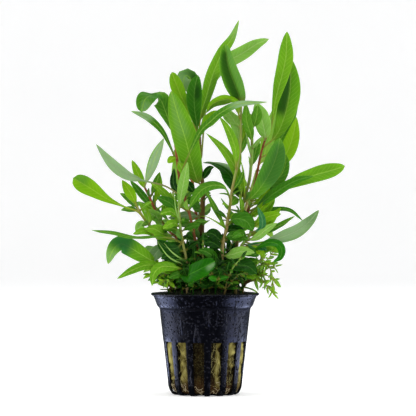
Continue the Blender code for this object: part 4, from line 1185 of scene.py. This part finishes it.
def roots():
    """Pale roots that have found their way out low in the slots."""
    pile = Pile()
    for k in range(ROOTS):
        turn = math.radians(slot_middle(k % SLOTS) + luck.uniform(-ROOT_SPREAD, ROOT_SPREAD))
        low = luck.uniform(1.2, 6.0)
        rise = luck.choice((-1, 0, 0, 2, 5)) * luck.uniform(0.6, 1.2)
        sweep = luck.choice((-1, 1)) * luck.uniform(0.10, 0.30)
        path = []
        for step in range(ROOT_PARTS + 1):
            t = step / ROOT_PARTS
            here = turn + sweep * (t - 0.5) + 0.02 * math.sin(9 * t + 2 * k)
            up = max(low + rise * (1 - t) ** 2 + 0.8 * math.sin(7 * t + k), 0.9)
            radius = wool_radius(up) + 0.1 + 0.5 * math.sin(math.pi * t)
            path.append(round_place(radius, here, up) * MM)
        thick = luck.uniform(0.06, 0.13)
        radii = [thick * (1 - 0.5 * n / ROOT_STEPS) for n in range(ROOT_STEPS + 1)]
        rod(pile, smooth_path(path, ROOT_STEPS), radii, "root", sides=6)
    hand_over(pile.piece("roots"), "rockwool")


def moss():
    """Short tufts over the plug's top."""
    pile = Pile()
    for _ in range(TUFTS):
        radius = MOSS_RADIUS * math.sqrt(luck.random())
        foot = round_place(radius, luck.uniform(0, math.tau), mound_height(radius) - 0.4)
        lean = Vector((luck.gauss(0, 0.6), luck.gauss(0, 0.6), 1)).normalized() * luck.uniform(1.2, 2.8)
        aside = lean.cross(Vector((luck.gauss(0, 1), luck.gauss(0, 1), 0.1))).normalized()
        side = aside * luck.uniform(0.1, 0.22)
        deep = lean.cross(side).normalized() * 0.08
        shade = luck.random()
        ways = (side, deep, -side, -deep)
        base = [pile.point((foot + way) * MM, shade=shade) for way in ways]
        middle = [pile.point((foot + lean * 0.55 + way * 0.8) * MM, shade=shade) for way in ways]
        tip = pile.point((foot + lean + Vector((0, 0, -0.2))) * MM, shade=shade)
        pile.strip(base, middle, "moss")
        for k in range(4):
            pile.face((middle[k], middle[(k + 1) % 4], tip), "moss")
        pile.face(tuple(base), "moss")
    hand_over(pile.piece("moss"), "rockwool")


# Net pot

def pot_profile():
    """Radius and height down the pot's outer side, from the rim to the middle of the base."""
    turns = [
        (RIM_RADIUS - 0.35, POT_HEIGHT),
        (RIM_RADIUS, POT_HEIGHT - 0.3),
        (RIM_RADIUS, POT_HEIGHT - 0.8),
        (RIM_RADIUS - 0.3, POT_HEIGHT - 1.1),
        (COLLAR_TOP_RADIUS, POT_HEIGHT - 1.5),
        (COLLAR_TOP_RADIUS - 0.5, POT_HEIGHT - 2.6),
        (COLLAR_FOOT_RADIUS + 0.35, COLLAR_FOOT + 1.4),
        (COLLAR_FOOT_RADIUS, COLLAR_FOOT + 0.4),
        (COLLAR_FOOT_RADIUS - 0.25, COLLAR_FOOT),
        (WALL_TOP_RADIUS + 0.15, COLLAR_FOOT - 1.2),
        (WALL_TOP_RADIUS, WALL_TOP),
    ]
    for high, low, steps in ((WALL_TOP, SLOT_TOP, 6), (SLOT_TOP, WALL_FOOT_HEIGHT, 8)):
        for k in range(1, steps + 1):
            height = high + (low - high) * k / steps
            turns.append((wall_radius(height), height))
    for k in range(1, 9):
        bend = math.radians(90) * k / 8
        turns.append((BASE_RADIUS + (WALL_FOOT_RADIUS - BASE_RADIUS) * math.cos(bend),
                      WALL_FOOT_HEIGHT * (1 - math.sin(bend)) ** 1.05))
    turns += [(12.0, 0.0), (SLOT_INNER_RADIUS, 0.0), (6.0, 0.0), (2.5, 0.0)]
    return turns


def wall_radius(height):
    """The radius of the wall's outer face at a height."""
    rise = (height - WALL_FOOT_HEIGHT) / (WALL_TOP - WALL_FOOT_HEIGHT)
    return WALL_FOOT_RADIUS + (WALL_TOP_RADIUS - WALL_FOOT_RADIUS) * rise


def net_pot():
    """A turned wall, open at the slots, thickened inwards, with its edges rounded."""
    slot_steps = 4
    rib_steps = 3
    rib_angle = 360 / SLOTS - SLOT_ANGLE
    turns = []
    for slot in range(SLOTS):
        start = slot_middle(slot) - SLOT_ANGLE / 2
        turns += [(start + SLOT_ANGLE * k / slot_steps, True) for k in range(slot_steps)]
        turns += [(start + SLOT_ANGLE + rib_angle * k / rib_steps, False) for k in range(rib_steps)]
    profile = pot_profile()
    shell = bmesh.new()
    lines = []
    for radius, height in profile:
        places = [round_place(radius, math.radians(turn), height) * MM for turn, _ in turns]
        lines.append([shell.verts.new(spot) for spot in places])
    for k, (before, after) in enumerate(zip(lines, lines[1:])):
        open_row = profile[k][1] <= SLOT_TOP + 0.01 and profile[k + 1][0] >= SLOT_INNER_RADIUS - 0.01
        for n, (_, in_slot) in enumerate(turns):
            if open_row and in_slot:
                continue
            m = (n + 1) % len(turns)
            shell.faces.new((before[n], after[n], after[m], before[m]))
    shell.faces.new(lines[-1])
    mesh = bpy.data.meshes.new("net_pot")
    close_up(shell, mesh)
    mesh.materials.append(LOOKS["plastic"])
    pot = stand("net_pot", mesh)
    wall = pot.modifiers.new("Wall", "SOLIDIFY")
    wall.thickness = WALL * MM
    wall.offset = -1.0
    edges = pot.modifiers.new("Edges", "BEVEL")
    edges.width = EDGE_ROUNDING * MM
    edges.segments = 2
    edges.limit_method = "ANGLE"
    edges.angle_limit = math.radians(40)
    hand_over(pot, "pot", "pot")


# Materials

class Wire:
    """A value that varies over a surface. Sums on it add Math nodes."""

    def __init__(self, look, socket):
        self.look = look
        self.socket = socket

    def maths(self, operation, *values):
        return self.look.node("ShaderNodeMath", {"operation": operation}, *values)

    def __add__(self, other):
        return self.maths("ADD", self, other)

    __radd__ = __add__

    def __sub__(self, other):
        return self.maths("SUBTRACT", self, other)

    def __rsub__(self, other):
        return self.maths("SUBTRACT", other, self)

    def __mul__(self, other):
        return self.maths("MULTIPLY", self, other)

    __rmul__ = __mul__

    def __truediv__(self, other):
        return self.maths("DIVIDE", self, other)

    def __mod__(self, other):
        return self.maths("FLOORED_MODULO", self, other)

    def __abs__(self):
        return self.maths("ABSOLUTE", self)


class Look:
    """A material while it is being made."""

    def __init__(self, name):
        self.material = bpy.data.materials.new(name)
        self.material.use_nodes = True
        self.tree = self.material.node_tree
        self.tree.nodes.clear()

    def node(self, kind, settings, *values, out=0, **named):
        """Adds a node: its settings first, then its sockets' values in order or by name."""
        made = self.tree.nodes.new(kind)
        for setting, value in settings.items():
            if setting == "stops":
                self.set_stops(made.color_ramp, value)
            else:
                setattr(made, setting, value)
        given = list(enumerate(values)) + [(name.replace("_", " "), value) for name, value in named.items()]
        for key, value in given:
            if isinstance(value, Wire):
                self.tree.links.new(value.socket, made.inputs[key])
            elif value is not None:
                made.inputs[key].default_value = value
        return Wire(self, made.outputs[out])

    @staticmethod
    def set_stops(ramp, stops):
        while len(ramp.elements) < len(stops):
            ramp.elements.new(0.5)
        for element, (position, colour) in zip(ramp.elements, stops):
            element.position = position
            element.color = (*colour, 1.0)

    def mark(self, name):
        """What the points of a piece say under a mark's name."""
        return self.node("ShaderNodeAttribute", {"attribute_name": name}, out="Fac")

    def where(self, stretch=(1, 1, 1)):
        """The place on the object, in metres, stretched along its axes."""
        spot = self.node("ShaderNodeTexCoord", {}, out="Object")
        return self.node("ShaderNodeVectorMath", {"operation": "MULTIPLY"}, spot, stretch)

    def clouds(self, scale, detail, stretch=(1, 1, 1)):
        """Soft noise of so many lumps to a metre."""
        return self.node("ShaderNodeTexNoise", {}, Vector=self.where(stretch), Scale=scale, Detail=detail)

    def fit(self, value, low, high):
        """0 at low, 1 at high, smooth between."""
        settings = {"interpolation_type": "SMOOTHSTEP"}
        return self.node("ShaderNodeMapRange", settings, value, low, high)

    def mix(self, share, first, second):
        """The first colour at a share of 0 and the second at 1, on the mix node's last two sockets."""
        colours = [value if isinstance(value, Wire) else (*value, 1.0) for value in (first, second)]
        return self.node("ShaderNodeMix", {"data_type": "RGBA"}, share, *[None] * 5, *colours, out=2)

    def bump(self, height, strength, distance):
        return self.node("ShaderNodeBump", {}, Strength=strength, Distance=distance, Height=height)

    def finish(self, **named):
        """Joins the shader to the material's output."""
        shader = self.node("ShaderNodeBsdfPrincipled", {}, **named)
        end = self.tree.nodes.new("ShaderNodeOutputMaterial")
        self.tree.links.new(shader.socket, end.inputs["Surface"])
        return self.material


# Colours of painted sheen, painted shade and blue-green painted shade on leaves, and of their stalks
PAINTED_SHEEN_COLOUR = (0.27, 0.40, 0.21)
PAINTED_SHADE_COLOUR = (0.008, 0.045, 0.002)
PAINTED_TEAL_SHADE_COLOUR = (0.012, 0.10, 0.026)
STALK_COLOUR = (0.20, 0.17, 0.03)


def leaf_look(name, rough, upper, deeper, under, vein):
    """A thin waxy leaf: mottled, with a pale midrib, curved side veins, a paler, duller underside, and
    patches of painted shade and sheen.
    """
    look = Look("leaf_" + name)
    aside = abs(look.mark("aside"))
    reach = look.mark("reach")
    across = abs(look.mark("across"))
    below = look.mark("under")
    shade = look.mark("shade")
    blotch = look.clouds(90, 3.0)
    flecks = look.clouds(1600, 2.0)
    slope = reach - aside * 1.15
    grain_spot = look.node("ShaderNodeCombineXYZ", {}, slope * 1.6, aside * 0.22, shade * 40)
    grain = look.node("ShaderNodeTexNoise", {}, Vector=grain_spot, Scale=1.0, Detail=3.0)
    colour = look.mix(look.fit(blotch * 0.8 + shade * 0.45, 0.3, 0.95), upper, deeper)
    colour = look.mix(look.fit(grain, 0.42, 0.72) * 0.35, colour, deeper)
    # Painted sheen: paler and greyer where a blade catches the light
    colour = look.mix(look.mark("frost"), colour, PAINTED_SHEEN_COLOUR)
    colour = look.mix(below * 0.8, colour, under)
    colour = look.mix(look.fit(flecks, 0.45, 0.8) * 0.2, colour, deeper)
    midrib = 1 - look.fit(aside, 0.1, 0.36)
    slant = (slope + look.clouds(260, 1.0) * 1.6) / 2.4 % 1.0
    ribs = look.fit(abs(slant - 0.5), 0.36, 0.5) * (1 - look.fit(across, 0.7, 0.98))
    colour = look.mix(midrib * 0.6 + ribs * 0.3, colour, vein)
    colour = look.mix(look.fit(across, 0.9, 1.0) * 0.25, colour, vein)
    # Painted shade: darker where one leaf shades another or a fold turns away, and darker blue-green on some
    # blades
    colour = look.mix(look.mark("dusk") * 0.92, colour, PAINTED_SHADE_COLOUR)
    colour = look.mix(look.mark("teal") * 0.9, colour, PAINTED_TEAL_SHADE_COLOUR)
    colour = look.mix(look.mark("stalk") * 0.7, colour, STALK_COLOUR)
    height = look.clouds(700, 2.0) * 0.5 - ribs * 0.3 - midrib * 0.4 + grain * 0.5
    return look.finish(
        Base_Color=colour,
        Roughness=rough + flecks * 0.1 + below * 0.2,
        Subsurface_Weight=0.15,
        Subsurface_Radius=(0.5, 1.0, 0.06),
        Subsurface_Scale=0.0012,
        Specular_IOR_Level=0.09,
        Specular_Tint=(0.9, 1.0, 0.75, 1.0),
        Coat_Roughness=0.22,
        Coat_Weight=0.03 * (1 - below),
        Normal=look.bump(height, 0.45, 0.0002),
    )


def stem_look(name, old, young, joint):
    """A soft stem: darker and older low down, streaked along its length, with darker joints."""
    look = Look("stem_" + name)
    share = look.mark("across")
    streaks = look.clouds(500, 3.0, stretch=(1, 1, 0.12))
    blotch = look.clouds(120, 2.0)
    colour = look.mix(look.fit(share + blotch * 0.5, 0.3, 1.2), old, young)
    colour = look.mix(look.fit(streaks, 0.35, 0.75) * 0.6, colour, joint)
    colour = look.mix(look.mark("stalk") * 0.55, colour, joint)
    return look.finish(
        Base_Color=colour,
        Roughness=0.5 + streaks * 0.2,
        Specular_IOR_Level=0.15,
        Subsurface_Weight=0.1,
        Subsurface_Radius=(1.0, 0.5, 0.2),
        Subsurface_Scale=0.001,
        Normal=look.bump(streaks, 0.4, 0.0003),
    )


def plastic_look():
    """Black moulded plastic, softly shining, with a fine beaded wetness."""
    look = Look("black_plastic")
    dust = look.clouds(60, 3.0)
    grain = look.clouds(2600, 2.0)
    spot = look.where()
    bead_scale = 700.0
    beads = look.node("ShaderNodeTexVoronoi", {}, Vector=spot, Scale=bead_scale, out="Distance")
    kinds = look.node("ShaderNodeTexVoronoi", {}, Vector=spot, Scale=bead_scale, out="Color")
    rare = look.fit(look.node("ShaderNodeSeparateColor", {}, kinds, out="Red"), 0.32, 0.42)
    drop = (1 - look.fit(beads, 0.1, 0.42)) * rare
    runs = look.fit(look.clouds(420, 3.0, stretch=(1, 1, 0.1)), 0.58, 0.7)
    height = look.node("ShaderNodeSeparateXYZ", {}, spot, out="Z")
    shaded = 1 - look.fit(abs(height - (COLLAR_FOOT - 1.3) * MM), 0.0003, 0.0009)
    colour = look.mix(look.fit(dust, 0.35, 0.8), (0.0005, 0.0006, 0.0016), (0.0014, 0.0016, 0.0036))
    # The beads are painted a little paler and bluer, a painted glint of the light they catch
    colour = look.mix(drop * 0.35, colour, (0.012, 0.012, 0.02))
    return look.finish(
        Base_Color=colour,
        Roughness=0.14 + grain * 0.08 + drop * 0.4 + dust * 0.08 + shaded * 0.5,
        Specular_IOR_Level=0.36,
        Specular_Tint=(0.72, 0.74, 1.0, 1.0),
        Normal=look.bump(drop + runs * 0.25 + grain * 0.04, 1.0, 0.0022),
    )


def wool_look():
    """Matted mineral wool: tan on its folds, painted dark in its creases as shade, browner low down and mossy
    on top.
    """
    look = Look("rockwool")
    folds = look.clouds(330, 4.0, stretch=(1, 1, 0.55))
    mat = look.clouds(1500, 3.0)
    height = look.mark("reach")
    swell = look.mark("across")
    # The colour follows how far the wool swells: near black in the creases, painted shade, up to tan on the
    # folds
    colour = look.node("ShaderNodeValToRGB", {"stops": [
        (0.15, (0.007, 0.004, 0.001)), (0.42, (0.04, 0.026, 0.004)),
        (0.66, (0.15, 0.125, 0.03)), (0.95, (0.32, 0.285, 0.09)),
    ]}, swell * 0.75 + folds * 0.75 - 0.22)
    colour = look.mix((1 - look.fit(height, 3.0, 12.0)) * 0.75, colour, (0.045, 0.018, 0.006))
    colour = look.mix(look.fit(height, 44.0, 50.0), colour, (0.010, 0.011, 0.003))
    colour = look.mix(look.fit(mat, 0.45, 0.8) * 0.22, colour, (0.33, 0.30, 0.13))
    return look.finish(
        Base_Color=colour, Roughness=0.95 - mat * 0.1, Specular_IOR_Level=0.05,
        Normal=look.bump(folds + mat * 0.5, 0.9, 0.0008),
    )


def plain_look(name, first, second, rough, scale):
    """A finish of two colours that drift into each other."""
    look = Look(name)
    drift = look.clouds(scale, 3.0)
    share = look.fit(drift * 0.6 + look.mark("shade") * 0.6, 0.25, 0.95)
    return look.finish(
        Base_Color=look.mix(share, first, second),
        Roughness=rough + drift * 0.1,
        Normal=look.bump(drift, 0.3, 0.0003),
    )


# Studio

def area_light(name, size, power, spot):
    """A glowing rectangle that the camera doesn't see."""
    light = bpy.data.lights.new(name, "AREA")
    light.shape = "RECTANGLE"
    light.size, light.size_y = size
    light.energy = power
    lamp = stand(name, light)
    lamp.location = spot
    lamp.visible_camera = False
    return lamp


def low_panel(name, side, size, spot, power):
    """A low glowing panel beside the pot, seen only in what shines."""
    lamp = area_light(name + "_panel", size, power, (side * spot[0], spot[1], 0.002))
    lamp.data.color = (0.60, 0.68, 1.0)
    lamp.rotation_euler = (math.pi, 0, 0)
    lamp.visible_diffuse = False


def studio():
    """A pale round floor that sweeps up into a wall, four soft lights and four low panels."""
    profile = [(0.0, 0.0)] + [(0.3 * k, 0.0) for k in range(1, 7)]
    profile += [(1.8 + 0.9 * math.sin(a), 0.9 - 0.9 * math.cos(a)) for a in
                [math.radians(90) * k / 10 for k in range(1, 11)]]
    profile += [(2.7, 1.6), (2.7, 2.4)]
    shell = bmesh.new()
    points = [shell.verts.new((radius, 0.0, height)) for radius, height in profile]
    for before, after in zip(points, points[1:]):
        shell.edges.new((before, after))
    bmesh.ops.spin(shell, geom=shell.verts[:] + shell.edges[:], axis=(0, 0, 1), cent=(0, 0, 0),
                   steps=72, angle=math.tau, use_merge=True)
    bmesh.ops.remove_doubles(shell, verts=shell.verts, dist=0.0001)
    mesh = bpy.data.meshes.new("floor")
    close_up(shell, mesh)
    look = Look("pale_floor")
    cloud = look.clouds(3, 2.0)
    mesh.materials.append(look.finish(
        Base_Color=look.mix(cloud, (0.86, 0.86, 0.86), (0.90, 0.90, 0.90)),
        Roughness=0.9,
        Specular_IOR_Level=0.0,
        Emission_Color=(1.0, 1.0, 1.0, 1.0),
        Emission_Strength=0.3,
    ))
    floor = stand("floor", mesh)
    floor.visible_glossy = False
    for name, spot, size, power in (
        ("left_box", (-1.15, -0.05, 0.4), (1.5, 1.3), 10.0),
        ("right_box", (1.15, -0.05, 0.4), (1.5, 1.3), 10.0),
        ("top_box", (0.0, 0.1, 1.5), (1.3, 1.3), 15.0),
        ("front_box", (0.0, -1.7, 1.3), (1.2, 0.6), 5.0),
    ):
        lamp = area_light(name, size, power, spot)
        lamp.rotation_euler = (Vector((0, 0, 0.09)) - Vector(spot)).to_track_quat("-Z", "Y").to_euler()
    for side in (-1, 1):
        ahead = 0.018 * (side + 1)
        low_panel("near", side, (0.05, 0.10 + ahead), (0.080, 0.035 - ahead / 2), 0.072)
        low_panel("far", side, (0.26, 0.19 + ahead), (0.235, 0.070 - ahead / 2), 0.215)
    world = bpy.data.worlds.new("studio_air")
    bpy.context.scene.world = world
    world.use_nodes = True
    sky = world.node_tree.nodes["Background"]
    sky.inputs["Color"].default_value = (0.9, 0.95, 1.0, 1.0)
    sky.inputs["Strength"].default_value = 0.08


def camera():
    """The eye looks level at the plant's middle, from the front."""
    lens = bpy.data.cameras.new("eye")
    lens.sensor_width = SENSOR_WIDTH
    lens.lens = SENSOR_WIDTH * EYE_DISTANCE / VIEW_WIDTH
    lens.clip_start = 0.05
    eye = stand("eye", lens)
    eye.location = (SIGHT_X * MM, -EYE_DISTANCE * MM, SIGHT_Z * MM)
    eye.rotation_euler = (math.radians(90), 0, 0)
    bpy.context.scene.camera = eye


# What the plant is made with, and the making of it

luck = random.Random(7)
SLOT_OF = {row["node"]: row["material_slot"] for row in frame["record"]["subparts"]}

# Each leaf tone: its roughness, and the colours of its upper face, its mottling, its underside and veins
# The dark and deep tones are painted shade for leaves that lie in shade, the bright tone is painted light for
# sunlit leaves, and the grey tone is partly painted sheen
LEAF_TONES = {
    "bright": (0.38, (0.15, 0.345, 0.010), (0.085, 0.24, 0.006), (0.19, 0.36, 0.05), (0.27, 0.46, 0.05)),
    "fresh": (0.38, (0.075, 0.225, 0.008), (0.036, 0.145, 0.005), (0.115, 0.25, 0.035), (0.19, 0.36, 0.04)),
    "yellow": (0.38, (0.17, 0.36, 0.003), (0.11, 0.27, 0.002), (0.18, 0.34, 0.03), (0.27, 0.43, 0.03)),
    "pale": (0.38, (0.19, 0.38, 0.06), (0.13, 0.30, 0.035), (0.24, 0.38, 0.11), (0.32, 0.48, 0.14)),
    "grey": (0.38, (0.15, 0.25, 0.10), (0.11, 0.20, 0.075), (0.18, 0.27, 0.13), (0.24, 0.34, 0.17)),
    "deep": (0.34, (0.045, 0.18, 0.005), (0.018, 0.10, 0.003), (0.10, 0.22, 0.04), (0.10, 0.26, 0.03)),
    "dark": (0.32, (0.008, 0.060, 0.002), (0.003, 0.028, 0.0015), (0.05, 0.14, 0.03), (0.05, 0.15, 0.02)),
    "teal": (0.34, (0.03, 0.16, 0.045), (0.015, 0.10, 0.028), (0.07, 0.19, 0.08), (0.10, 0.27, 0.10)),
    "glossy": (0.2, (0.016, 0.145, 0.001), (0.007, 0.08, 0.001), (0.05, 0.18, 0.02), (0.05, 0.22, 0.01)),
}

# Each stem tone: the colours of its old wood, its young part and its joints
STEM_TONES = {
    "red": ((0.25, 0.13, 0.04), (0.26, 0.07, 0.025), (0.11, 0.03, 0.01)),
    "brown": ((0.05, 0.022, 0.003), (0.16, 0.10, 0.02), (0.05, 0.014, 0.003)),
    "tan": ((0.33, 0.24, 0.10), (0.24, 0.34, 0.06), (0.26, 0.16, 0.06)),
    "green": ((0.09, 0.045, 0.014), (0.22, 0.40, 0.07), (0.16, 0.12, 0.03)),
}

LOOKS = {name: leaf_look(name, *tone) for name, tone in LEAF_TONES.items()}
LOOKS |= {"stem_" + name: stem_look(name, *tone) for name, tone in STEM_TONES.items()}
LOOKS |= {
    "plastic": plastic_look(),
    "wool": wool_look(),
    "fibre": plain_look("wool_fibre", (0.30, 0.26, 0.09), (0.42, 0.38, 0.18), rough=0.8, scale=400),
    "root": plain_look("root", (0.46, 0.38, 0.22), (0.62, 0.56, 0.38), rough=0.5, scale=500),
    "moss": plain_look("moss", (0.005, 0.009, 0.001), (0.024, 0.038, 0.005), rough=0.7, scale=300),
}

camera()
studio()
net_pot()
rockwool()
fibres()
roots()
moss()
for stem in STEMS:
    stem_piece(stem)
for leaf in LEAVES:
    main_leaf(leaf)
for sprig in SPRIGS:
    sprig_piece(sprig)
low_shoots()

bpy.context.scene.view_settings.view_transform = "Standard"
